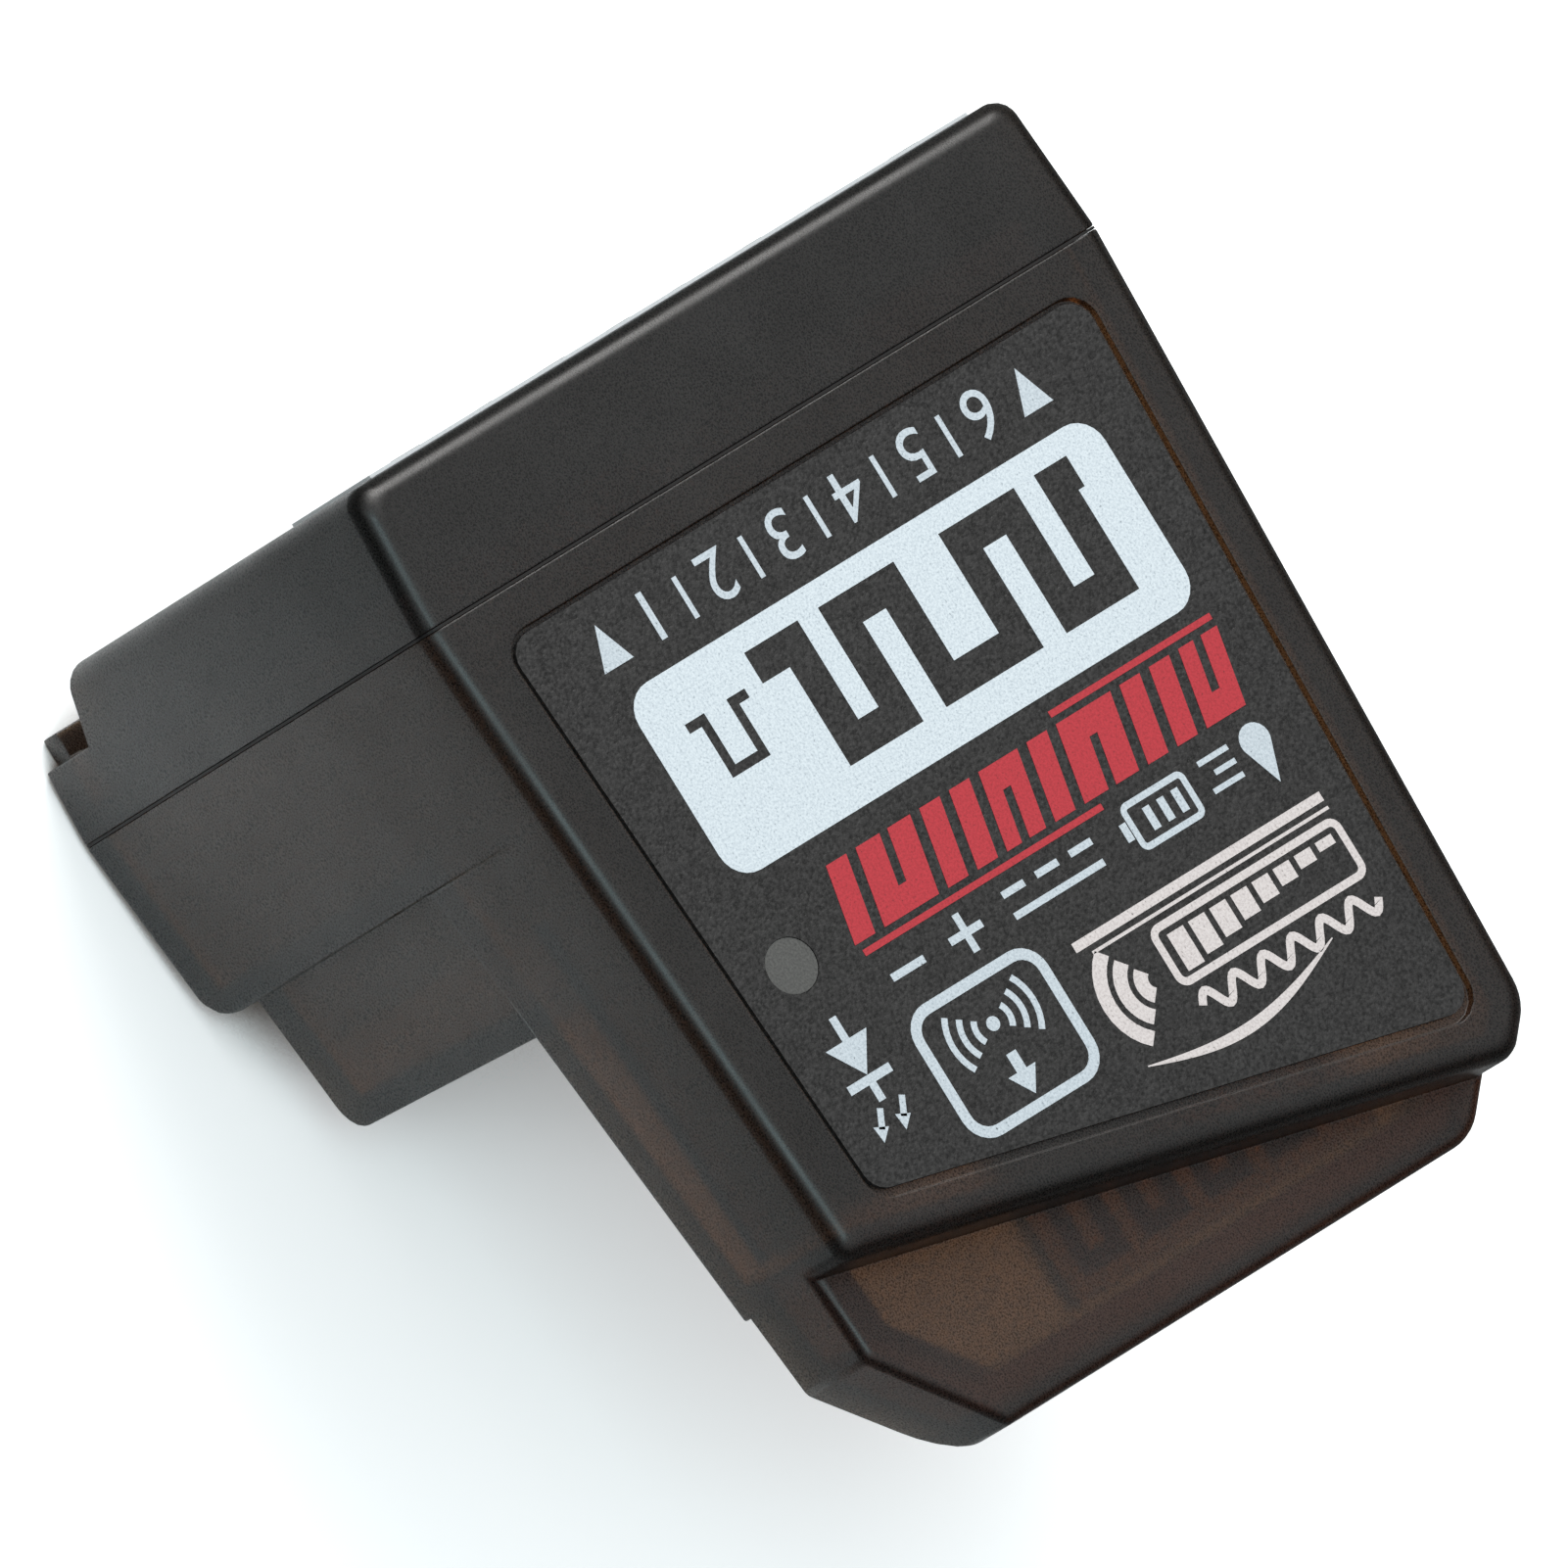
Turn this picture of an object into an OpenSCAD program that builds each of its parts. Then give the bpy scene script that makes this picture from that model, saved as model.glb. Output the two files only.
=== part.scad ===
// Small radio control receiver: a smoke tinted moulded case with servo ports in its lid end.
// X runs from the port face to the low ledge, Y across the label, Z out of the label face.
// The origin is the middle of the tape face on the back of the deep port section.

/* [Case] */
// Length from the port face to the end of the low ledge
case_l = 32.35; // [31.5:0.05:34]
// Width at the seam between lid and housing
case_w = 26.1; // [25.5:0.1:28]
// Depth at the seam, from the label face to the back
case_h = 23.15; // [22.9:0.05:25]
// Thickness of the moulded walls
wall = 0.9; // [0.7:0.05:1]
// Thickness of the wall under the label
roof = 1.2; // [1:0.05:1.4]
// Draft of the housing's side walls, in degrees
side_draft = 2.9; // [2:0.1:3.2]
// Draft of the housing's back and underside, in degrees
back_draft = 4.5; // [3:0.25:5.5]
// Radius along the outer edges of the label face
edge_r = 0.65; // [0.4:0.05:0.9]
// Radius along the outer edges of the back
back_edge_r = 0.4; // [0.2:0.05:0.6]

/* [Deep port section and block] */
// Length of the deep section, from the port face
deep_l = 10.9; // [10.7:0.1:11.5]
// Radius at the back of the deep section's rear wall
deep_r = 1.8; // [1:0.1:2.2]
// Length of the block that stands behind the deep section
block_l = 5.1; // [4.8:0.1:6]
// Height of the block's back above the foot of the seam, at its end
block_rise = 3; // [2.6:0.05:3.6]
// Step of the block's sides in from the housing's sides
block_inset = 0.5; // [0.3:0.05:0.7]
// Lean of the block's end wall, in degrees
block_lean = 2; // [0:0.5:3]
// Radius at the back of the block's end wall
block_r = 1; // [0.6:0.1:1.5]

/* [Leg and ledge] */
// Depth of the leg's underside where it leaves the block
leg_depth = 7.9; // [7.6:0.1:8.4]
// Distance from the small step in the underside to the end
step_l = 6.4; // [5:0.1:8]
// Height of that step
step_h = 0.6; // [0.3:0.05:0.7]
// Radius at the lower edge of the end
toe_r = 1.5; // [0.8:0.1:1.8]
// Depth of the ledge's top below the label face
ledge_drop = 2.3; // [2.2:0.05:2.6]
// Length of the ledge past the label platform, at mid width
ledge_l = 3.7; // [3:0.05:4]
// Slant of the label platform's end, in degrees
slant = 12.8; // [10:0.2:14]
// Thickness of the wall round the ledge's hollow
end_wall = 1.5; // [1.3:0.05:1.6]
// Length of the cut-off corner on the lamp side
cut_l = 3.7; // [3.2:0.1:4]
// Width of the cut-off corner on the lamp side
cut_w = 3; // [2.5:0.1:3.4]
// Size of the cut-off corner on the other side
far_cut = 2.6; // [2:0.1:2.8]
// Radius of both upright edges on the other side's cut-off corner
far_corner_r = 1.6; // [1:0.1:1.8]
// Radius of the upright edge between the lamp side and its cut-off corner
lamp_corner_r = 0.5; // [0.3:0.1:0.8]
// Radius of the upright edge between that corner and the end
end_corner_r = 0.4; // [0.3:0.1:0.8]
// Radius of the upright edge between the lamp side and the platform's slanted end
platform_r = 0.8; // [0.5:0.1:1.2]

/* [Lid] */
// Distance from the port face to the seam
seam_x = 4.6; // [4.4:0.05:5]
// Width of the open line between lid and housing
seam_gap = 0.1; // [0.05:0.01:0.15]
// Depth of that line, where the lid's rim meets the housing
seam_d = 0.3; // [0.2:0.05:0.4]
// Gap left where they meet
seam_fit = 0.02; // [0.01:0.01:0.04]
// Narrowing of the lid on each side towards the port face
lid_taper = 0.3; // [0.1:0.05:0.4]
// Thickness of the port face plate
plate_t = 1.2; // [1:0.05:1.4]
// Radius of the lid's corners at the port face
lid_corner_r = 0.7; // [0.4:0.05:1]
// Height of the port face plate's low edge above the foot
plate_rise = 3.9; // [3.5:0.05:4.4]
// Distance that the lid's foot stands back from the port face
foot_x = 2.2; // [1.9:0.1:2.5]
// Fall of the plate's low edge towards the foot
foot_fall = 0.8; // [0.5:0.1:1]
// Distance that the back lip reaches out of the foot
lip_out = 0.85; // [0.5:0.05:1]
// Step of the back lip's ends in from the lid's sides
lip_side = 0.45; // [0.3:0.05:0.9]
// Height of the slot above the back lip
slot_h = 1.3; // [1:0.05:1.5]
// Length of the tongue that enters the housing
tongue_l = 1.6; // [1.2:0.1:2]
// Thickness of that tongue
tongue_t = 0.7; // [0.6:0.05:0.8]
// Clearance of the tongue in the housing's mouth
tongue_fit = 0.08; // [0.05:0.01:0.1]

/* [Labels] */
// Depth of the recess for the face label
recess_d = 0.3; // [0.2:0.02:0.4]
// Thickness of the face label
label_t = 0.18; // [0.1:0.02:0.2]
// Clearance round the face label
label_fit = 0.15; // [0.08:0.01:0.2]
// Extra space at the label's slanted end
label_short = 0.15; // [0.1:0.05:0.4]
// Rim beside the recess on the lamp side
rim_lamp = 1.9; // [1.7:0.05:2.2]
// Rim beside the recess on the other side
rim_far = 1.6; // [1.3:0.05:1.8]
// Rim between the seam and the recess
rim_seam = 1.22; // [1.1:0.02:1.6]
// Rim between the recess and the slanted end
rim_slant = 1.35; // [1.2:0.05:1.7]
// Radius of the recess's corners
recess_r = 0.9; // [0.5:0.05:1.2]
// Diameter of the lamp hole in the label
lamp_d = 1.7; // [1.3:0.1:2]
// Distance from the port face to the lamp hole
lamp_x = 18; // [17.5:0.1:18.5]
// Distance of the lamp hole from the housing's side
lamp_in = 3.95; // [3.75:0.05:4.2]
// Height of the port label
port_label_h = 5.2; // [4.5:0.1:5.4]
// Width of the port label
port_label_w = 23; // [21:0.2:23.2]
// Thickness of the port label
port_label_t = 0.1; // [0.08:0.01:0.15]

/* [Servo ports] */
// Spacing of the pins both ways
pitch = 2.54; // [2.5:0.01:2.56]
// Width of a square pin
pin_w = 0.64; // [0.6:0.01:0.68]
// Drop of the middle pin row below the middle of the space between block and main board
row_drop = 0.5; // [0.3:0.05:0.8]
// Distance from the port face to the pin tips
pin_in = 4.5; // [4.4:0.1:4.8]
// Clearance of a plug in the socket on each side
plug_fit = 0.2; // [0.1:0.05:0.25]
// Thickness of the socket's walls
socket_wall = 0.8; // [0.6:0.05:0.9]
// Thickness of the pin carrier
carrier_t = 2.4; // [2.1:0.05:2.5]
// Length of pin behind the port board
tail_l = 1; // [0.8:0.1:1.2]
// Clearance of a pin in the carrier on each side
pin_fit = 0.02; // [0.01:0.01:0.04]
// Diameter of the holes for the pins in the port board
pin_hole_d = 1.05; // [1:0.05:1.1]

/* [Circuit boards] */
// Thickness of both boards
board_t = 0.8; // [0.6:0.05:0.85]
// Depth of the main board's top below the label face
board_depth = 3.4; // [3.35:0.05:3.6]
// Distance from the port face to the main board
board_x = 7; // [6.8:0.1:7.2]
// Space between the main board and the side walls at its far end
board_side = 0.3; // [0.2:0.05:0.35]
// Space between the antenna arm and the end wall
arm_fit = 0.3; // [0.2:0.05:0.5]
// Distance of the antenna arm's lamp side edge from the middle line
arm_y = 4.5; // [4.3:0.1:4.8]
// Distance of the arm's other edge from the far cut-off corner
arm_far = 2.1; // [1.8:0.1:2.5]
// Distance from the port face to the port board
port_board_x = 12.3; // [12.2:0.05:12.4]
// Gap between the boards and beside the port board
board_fit = 0.15; // [0.1:0.01:0.2]
// Height of the rails that carry the main board
rail_h = 0.8; // [0.6:0.1:1]
// Overlap of the board's edges on the rails
rail_bite = 0.5; // [0.4:0.05:0.7]

/* [Board link] */
// Spacing of the link pins
link_pitch = 2; // [1.9:0.05:2.1]
// Width of a square link pin
link_w = 0.5; // [0.4:0.02:0.56]
// Diameter of the holes for the link pins
link_hole_d = 0.8; // [0.8:0.05:0.9]
// Distance of the link pins behind the port board
link_back = 1.4; // [1.2:0.1:1.5]
// Drop of the link pins' bend below the main board
link_drop = 1.7; // [1.5:0.1:2]
// Thickness of the link's plastic bar
link_bar_t = 0.9; // [0.8:0.05:0.95]
// Height of the link's plastic bar
link_bar_h = 1.6; // [1.4:0.1:1.8]

/* [Parts on the main board] */
// Space kept between neighbouring parts
part_gap = 0.4; // [0.3:0.05:0.5]
// Length of board behind the link pins that the parts there need at full size
parts_room = 9.7; // [9.6:0.05:9.75]
// Side of the controller chip's body
controller_w = 6; // [5.5:0.1:6.2]
// Height of the controller chip
controller_h = 1.2; // [1:0.1:1.5]
// Spacing of the controller chip's leads
lead_pitch = 0.65; // [0.6:0.01:0.68]
// Reach of the controller chip's leads
lead_out = 0.9; // [0.7:0.05:1]
// Width of a lead
lead_w = 0.25; // [0.2:0.01:0.3]
// Thickness of a lead
lead_t = 0.15; // [0.1:0.01:0.2]
// Side of the radio chip
radio_w = 4; // [3.5:0.1:4.4]
// Height of the radio chip
radio_h = 0.85; // [0.7:0.05:1]
// Length of the crystal
crystal_l = 3.2; // [2.8:0.1:3.4]
// Width of the crystal
crystal_w = 2.5; // [2:0.1:2.7]
// Height of the crystal
crystal_h = 0.75; // [0.6:0.05:0.9]
// Rim of the crystal's can
crystal_rim = 0.2; // [0.15:0.05:0.3]
// Length of the voltage regulator's body
regulator_l = 4.5; // [4:0.1:4.8]
// Width of the voltage regulator's body
regulator_w = 2.6; // [2.3:0.1:2.8]
// Height of the voltage regulator
regulator_h = 1.5; // [1.3:0.1:1.7]
// Reach of the voltage regulator's legs
regulator_leg = 0.75; // [0.6:0.05:0.85]
// Length of the large capacitors
capacitor_l = 3.5; // [3.2:0.1:3.6]
// Width of the large capacitors
capacitor_w = 2.6; // [2.3:0.1:2.8]
// Height of the large capacitors
capacitor_h = 1.8; // [1.5:0.1:1.9]
// Side of the filter choke
choke_w = 4; // [3.6:0.1:4.2]
// Height of the filter choke
choke_h = 1.8; // [1.4:0.1:1.9]
// Thickness of the choke's base and of its cap
choke_cap_t = 0.3; // [0.2:0.05:0.4]
// Diameter of the choke's winding
choke_core_d = 3; // [2.6:0.1:3.4]
// Length of the status lamp
status_l = 1.6; // [1.4:0.1:2]
// Length of the status lamp's lens
status_lens_l = 1; // [0.8:0.1:1.2]
// Width of the status lamp
status_w = 0.8; // [0.6:0.05:1]
// Height of the status lamp
status_h = 0.7; // [0.5:0.05:0.9]
// Length of a small chip part
chip_l = 1.6; // [1.4:0.1:1.7]
// Width of a small chip part
chip_w = 0.8; // [0.7:0.05:0.85]
// Height of a small chip part
chip_h = 0.45; // [0.35:0.05:0.6]
// Spacing of small chip parts in a row
chip_step = 1.6; // [1.4:0.05:1.7]
// Thickness of the printed antenna
trace_t = 0.1; // [0.05:0.01:0.12]
// Width of the printed antenna's track and of the space beside it
trace_w = 0.6; // [0.4:0.05:0.7]
// Bare margin of the arm round the printed antenna
trace_rim = 0.6; // [0.4:0.05:0.7]

/* [Hidden] */

// Ports side by side, and pins in each port
port_count = 6;
port_pins_count = 3;
link_count = 8;
leads_a_side = 7;

// Smoothness of rounded corners and edges
arc_steps = 5;
edge_steps = 4;
$fn = 48;

// Reach of shapes past the seam or past a face that they cut
over = 3;

// Radius of an edge that stays sharp or that another solid covers
sharp = 0.01;

// Slopes of the drafted faces
side_k = tan(side_draft);
back_k = tan(back_draft);
slant_k = tan(slant);

// Faces of the seam
lid_end = seam_x - seam_gap / 2;
mouth_x = seam_x + seam_gap / 2;
block_x = deep_l + block_l;
step_x = case_l - step_l;

// Middle of the platform's slanted end, and the far side of the end wall
slant_x = case_l - ledge_l;
far_y = tub_half(case_l - far_cut) - far_cut;

// Inner face of the lid's thick rim, measured in from its outer face
rim_t = wall + tongue_fit + tongue_t;

// Middle of the tape face, which is the frame's origin
tape_x = (mouth_x + deep_l - deep_r) / 2;
tape_z = back_z(tape_x);

// Main board, which ends at the platform's slanted end, with its antenna arm in the ledge
board_z = case_h - board_depth - board_t;
board_top = case_h - board_depth;
board_end = slant_side(-1) - wall - board_fit;
board_w = 2 * (tub_half(board_end) - wall - board_side);
arm_end = case_l - end_wall - arm_fit;
arm_far_y = far_y - arm_far;
lamp_y = tub_half(lamp_x) - lamp_in;
port_board_back = port_board_x + board_t;
port_board_w = 2 * (tub_half(port_board_back) - block_inset - wall - board_fit);
port_board_low = block_z(port_board_x) + wall + tongue_fit;
rail_x = port_board_back + board_fit;
link_x = port_board_back + link_back;
link_z = board_z - link_drop;

// Socket in the lid
carrier_x = port_board_x - carrier_t;
row_z = (block_z(carrier_x) + wall + board_z) / 2 - row_drop;
socket_w = port_count * pitch + 2 * plug_fit;
socket_h = port_pins_count * pitch + 2 * plug_fit;
socket_end = carrier_x - tongue_fit;

// Power parts in one row between the port end and the link pins, from the lamp side inwards
power_x = (board_x + link_x - link_w / 2) / 2;
regulator_y = part_gap + regulator_l / 2 - board_w / 2;
input_y = regulator_y + regulator_l / 2 + part_gap + capacitor_l / 2;
output_y = input_y + capacitor_l + part_gap;

// Parts behind the link pins, from the other side inwards, made smaller where the board is short
behind_link_x = link_x + link_w / 2 + part_gap;
part_k = min(1, (board_end - behind_link_x) / parts_room);
controller_half = part_k * (controller_w / 2 + lead_out);
controller_x = behind_link_x + controller_half;
choke_x = behind_link_x + part_k * choke_w / 2;
choke_y = board_w / 2 - part_gap - part_k * choke_w / 2;
controller_y = choke_y - part_k * choke_w / 2 - part_gap - controller_half;
radio_x = board_end - part_gap - part_k * radio_w / 2;
radio_y = controller_y - controller_half - part_gap - part_k * radio_w / 2;
crystal_x = board_end - part_gap - part_k * crystal_w / 2;

// Rows of small chip parts along Y: first place, number in the row and scale
chip_rows = [
    [power_x, output_y + capacitor_l / 2 + part_gap + chip_w / 2, 3, 1],
    [behind_link_x + part_k * chip_l / 2,
     controller_y - controller_half - part_gap - part_k * (chip_w / 2 + chip_step), 2, part_k],
    [(choke_x + crystal_x + part_k * (choke_w - crystal_w) / 2) / 2,
     choke_y - part_k * chip_step / 2, 2, part_k],
    [board_end - part_k * (part_gap / 2 + chip_l / 2), controller_y - part_k * chip_step, 3, part_k]
];

// Finishes
smoke = "#3b3836";
film = "#343232";
paper = "#c9cdd0";
laminate = "#1f4a35";
carrier_black = "#1a1a1c";
gold = "#c9a24a";
tin = "#b9bcc0";
chip_black = "#222224";
ceramic = "#b08d62";
copper = "#b5703c";
lamp_white = "#e8e6dd";

// Half width of the housing and of the lid at a distance from the port face
function tub_half(x) = case_w / 2 - (x - seam_x) * side_k;
function lid_half(x) = case_w / 2 - (seam_x - x) * lid_taper / seam_x;

// Height of the drafted back, the leg's underside and the block's back
function back_z(x) = (x - seam_x) * back_k;
function under_z(x) = case_h - leg_depth + (x - block_x) * back_k;
function block_z(x) = block_rise + (x - block_x) * back_k;

// Where the platform's slanted end meets a side, s is -1 or 1
function slant_side(s) =
    (slant_x + s * slant_k * (case_w / 2 + seam_x * side_k)) / (1 + s * slant_k * side_k);

// Point list moved in from its edges: d holds one distance for each edge that starts at a point
function inset(pts, d) = [
    for (i = [0 : len(pts) - 1])
        let (k = (i + len(pts) - 1) % len(pts),
             u = unit(pts[i] - pts[k]), v = unit(pts[(i + 1) % len(pts)] - pts[i]),
             n = [-u.y, u.x], m = [-v.y, v.x], c = n * m)
        pts[i] + (n * (d[k] - c * d[i]) + m * (d[i] - c * d[k])) / (1 - c * c)
];
function unit(v) = v / norm(v);
function same(d, pts) = [for (p = pts) d];

// Outline with each corner turned into an arc of its own radius
function rounded(pts, radii) = [
    for (i = [0 : len(pts) - 1])
        each corner(pts[(i + len(pts) - 1) % len(pts)], pts[i], pts[(i + 1) % len(pts)], radii[i])
];
function corner(a, b, c, r) =
    r <= 0 ? [b] :
    let (u = unit(a - b), v = unit(c - b), half = acos(u * v) / 2,
         mid = b + unit(u + v) * r / sin(half),
         p = b + u * r / tan(half) - mid, q = b + v * r / tan(half) - mid)
    [for (s = [0 : arc_steps]) mid + r * unit(p * (1 - s / arc_steps) + q * s / arc_steps)];

// Outline lifted to a height that may slope along X from the seam
function lift(pts, z, k) = [for (p = pts) [p.x, p.y, z + (p.x - seam_x) * k]];

// Rings of an outline from a sloping foot to a level top, with rounded edges
function soft_rings(pts, radii, z0, k, z1, low_r, top_r) = [
    for (s = [0 : edge_steps])
        let (a = 90 * s / edge_steps)
        lift(rounded(inset(pts, same(low_r * (1 - sin(a)), pts)), radii), z0 + low_r * (1 - cos(a)), k),
    for (s = [0 : edge_steps])
        let (a = 90 * s / edge_steps)
        lift(rounded(inset(pts, same(top_r * (1 - cos(a)), pts)), radii), z1 - top_r * (1 - sin(a)), 0)
];

// Plan outline of the leg down to the ledge, open past the seam
leg_plan = [
    [seam_x - over, -tub_half(seam_x - over)],
    [case_l - cut_l, -tub_half(case_l - cut_l)],
    [case_l, cut_w - tub_half(case_l - cut_l)],
    [case_l, far_y],
    [case_l - far_cut, far_y + far_cut],
    [seam_x - over, tub_half(seam_x - over)]
];
leg_plan_r = [0, lamp_corner_r, end_corner_r, far_corner_r, far_corner_r, 0];

// Plan outline of the label platform with its slanted end, open past the seam
platform_y = (case_l + far_y - slant_x) / (1 + slant_k);
platform_plan = [
    leg_plan[0],
    [slant_side(-1), -tub_half(slant_side(-1))],
    [slant_x + slant_k * platform_y, platform_y],
    leg_plan[4],
    leg_plan[5]
];
platform_plan_r = [0, lamp_corner_r, platform_r, far_corner_r, 0];

// Four sided outline between the seam and the slanted end, which the label recess follows
label_quad = [
    [mouth_x, -tub_half(mouth_x)],
    [slant_side(-1), -tub_half(slant_side(-1))],
    [slant_side(1), tub_half(slant_side(1))],
    [mouth_x, tub_half(mouth_x)]
];
recess_plan = inset(label_quad, [rim_lamp, rim_slant, rim_far, rim_seam]);

// Plan outlines of the deep section, the block and the lid
deep_plan = [
    leg_plan[0],
    [deep_l, -tub_half(deep_l)],
    [deep_l, tub_half(deep_l)],
    leg_plan[5]
];
block_plan = [
    [deep_l - over, block_inset - tub_half(deep_l - over)],
    [block_x, block_inset - tub_half(block_x)],
    [block_x, tub_half(block_x) - block_inset],
    [deep_l - over, tub_half(deep_l - over) - block_inset]
];
lid_plan = [
    [0, -lid_half(0)],
    [seam_x + over, -lid_half(seam_x + over)],
    [seam_x + over, lid_half(seam_x + over)],
    [0, lid_half(0)]
];

// Side outlines in X and Z
tub_side = [
    [seam_x - over, case_h + over],
    [seam_x - over, back_z(seam_x - over)],
    [deep_l, back_z(deep_l)],
    [deep_l, under_z(deep_l)],
    [step_x, under_z(step_x)],
    [step_x, under_z(step_x) + step_h],
    [case_l, under_z(case_l) + step_h],
    [case_l, case_h + over]
];
tub_side_r = [0, 0, deep_r, 0, 0, 0, toe_r, 0];
block_toe = block_x - (case_h - leg_depth - block_rise) * tan(block_lean);
block_side = [
    [deep_l - over, under_z(block_x) + wall / 2],
    [deep_l - over, block_z(deep_l - over)],
    [block_toe, block_z(block_toe)],
    [block_x, under_z(block_x) + wall / 2]
];
lid_side = [
    [-over, case_h + over],
    [-over, plate_rise],
    [0, plate_rise],
    [foot_x, plate_rise - foot_fall],
    [foot_x, -over],
    [lid_end, -over],
    [lid_end, case_h + over]
];

// Every piece is drawn from the port face and the back, then set in the frame
module framed() translate([-tape_x, 0, -tape_z]) children();

// Closed solid through rings with the same number of points
module loft(rings) {
    n = len(rings[0]);
    last = (len(rings) - 1) * n;
    polyhedron(
        points = [for (ring = rings) each ring],
        faces = [
            [for (i = [0 : n - 1]) i],
            for (k = [0 : len(rings) - 2], i = [0 : n - 1])
                [k * n + i, (k + 1) * n + i, (k + 1) * n + (i + 1) % n, k * n + (i + 1) % n],
            [for (i = [0 : n - 1]) last + n - 1 - i]
        ]
    );
}

// Solid between both sides with a given outline in X and Z
module side_prism(pts, half_w = case_w)
    rotate([90, 0, 0]) translate([0, 0, -half_w]) linear_extrude(2 * half_w) polygon(pts);

// Solid with a given plan outline between two heights
module plan_prism(pts, z0, z1) translate([0, 0, z0]) linear_extrude(z1 - z0) polygon(pts);

// Block given by its low corner and its high corner
module span(low, high) translate(low) cube(high - low);

// Box that is centred in plan and stands on a height
module flat_box(size, z = 0) translate([-size.x / 2, -size.y / 2, z]) cube(size);

// Part set on the main board's top, at a scale
module on_board(x, y, k = 1) translate([x, y, board_top]) scale(k) children();

// Outer form of the housing
module tub_outer() {
    intersection() {
        union() {
            loft(soft_rings(deep_plan, same(0, deep_plan), back_z(seam_x), back_k,
                            case_h - ledge_drop, back_edge_r, sharp));
            loft(soft_rings(leg_plan, leg_plan_r, under_z(seam_x), back_k,
                            case_h - ledge_drop, back_edge_r, back_edge_r));
            loft(soft_rings(platform_plan, platform_plan_r,
                            case_h - ledge_drop - wall / 2, 0, case_h, sharp, edge_r));
        }
        side_prism(rounded(tub_side, tub_side_r));
        span([mouth_x, -case_w, -over], [case_l + over, case_w, case_h + over]);
    }
    intersection() {
        plan_prism(block_plan, -over, case_h);
        side_prism(rounded(block_side, [0, 0, block_r, 0]));
    }
}

// Hollow of the housing, open at the seam
module tub_hollow() {
    intersection() {
        plan_prism(inset(platform_plan, same(wall, platform_plan)), -over, case_h - roof);
        side_prism(inset(tub_side, same(wall, tub_side)));
    }
    intersection() {
        plan_prism(inset(leg_plan, same(end_wall, leg_plan)), -over, case_h - ledge_drop - wall);
        side_prism(inset(tub_side, same(wall, tub_side)));
        span([deep_l + wall, -case_w, -over], [case_l, case_w, case_h]);
    }
    intersection() {
        plan_prism(inset(block_plan, [wall, wall, wall, wall]), -over, case_h);
        side_prism(inset(block_side, [0, wall, wall, -wall]));
    }
}

// Rail along one side wall that the main board lies on, s is -1 or 1
module board_rail(s) {
    y = board_w / 2 - rail_bite;
    end = board_end - board_fit;
    plan_prism([
        [rail_x, s * y], [end, s * y],
        [end, s * (tub_half(end) - wall / 2)], [rail_x, s * (tub_half(rail_x) - wall / 2)]
    ], board_z - rail_h, board_z);
}

module housing() framed() color(smoke) {
    difference() {
        tub_outer();
        tub_hollow();
        plan_prism(rounded(recess_plan, same(recess_r, recess_plan)), case_h - recess_d, case_h + over);
    }
    for (s = [-1, 1]) board_rail(s);
}

// Outer form of the lid with the foot set back below the port face plate
module lid_outer() {
    intersection() {
        loft(soft_rings(lid_plan, [lid_corner_r, 0, 0, lid_corner_r], 0, 0, case_h, back_edge_r, edge_r));
        side_prism(lid_side);
    }
    span([foot_x - lip_out, lip_side - lid_half(0), 0], [lid_end, lid_half(0) - lip_side, wall]);
}

// Hollow of the lid inside a margin from the walls of the housing's mouth
module mouth_space(margin, x0, x1) {
    intersection() {
        plan_prism(inset(deep_plan, same(margin, deep_plan)), back_z(x0) + margin, case_h - roof - margin + wall);
        side_prism(inset(tub_side, same(margin, tub_side)));
        span([x0, -case_w, 0], [x1, case_w, case_h]);
    }
}

module lid() framed() color(smoke) difference() {
    union() {
        difference() {
            lid_outer();
            intersection() {
                mouth_space(rim_t, plate_t, mouth_x);
                span([plate_t, -case_w, plate_rise + plate_t], [mouth_x, case_w, case_h]);
            }
            span([0, wall - lid_half(0), wall], [lid_end - wall / 2, lid_half(0) - wall, wall + slot_h]);
        }
        difference() {
            union() {
                mouth_space(wall + tongue_fit, seam_x - wall, seam_x + tongue_l);
                mouth_space(seam_d, seam_x - wall, mouth_x - seam_fit);
            }
            mouth_space(rim_t, 0, seam_x + over);
        }
        span([plate_t / 2, -socket_w / 2 - socket_wall, row_z - socket_h / 2 - socket_wall],
             [socket_end, socket_w / 2 + socket_wall, row_z + socket_h / 2 + socket_wall]);
    }
    span([-over, -socket_w / 2, row_z - socket_h / 2], [socket_end + over, socket_w / 2, row_z + socket_h / 2]);
}

module face_label() framed() color(film) difference() {
    d = label_fit;
    plan_prism(rounded(inset(recess_plan, [d, d + label_short, d, d]), same(recess_r - d, recess_plan)),
               case_h - recess_d, case_h - recess_d + label_t);
    translate([lamp_x, -lamp_y, case_h - recess_d]) cylinder(h = 2 * recess_d, d = lamp_d, center = true);
}

module port_label() framed() color(paper)
    span([-port_label_t, -port_label_w / 2, case_h - edge_r - port_label_h],
         [0, port_label_w / 2, case_h - edge_r]);

module main_board() framed() color(laminate) difference() {
    union() {
        span([board_x, -board_w / 2, board_z], [board_end, board_w / 2, board_top]);
        span([board_end - wall, -arm_y, board_z], [arm_end, arm_far_y, board_top]);
    }
    for (i = [1 : link_count])
        translate([link_x, row_y(i, link_count, link_pitch), board_z + board_t / 2])
            cylinder(h = 2 * board_t, d = link_hole_d, center = true);
}

// Place across the case of one of several things in a row
function row_y(i, count, step) = (i - (count + 1) / 2) * step;

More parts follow.
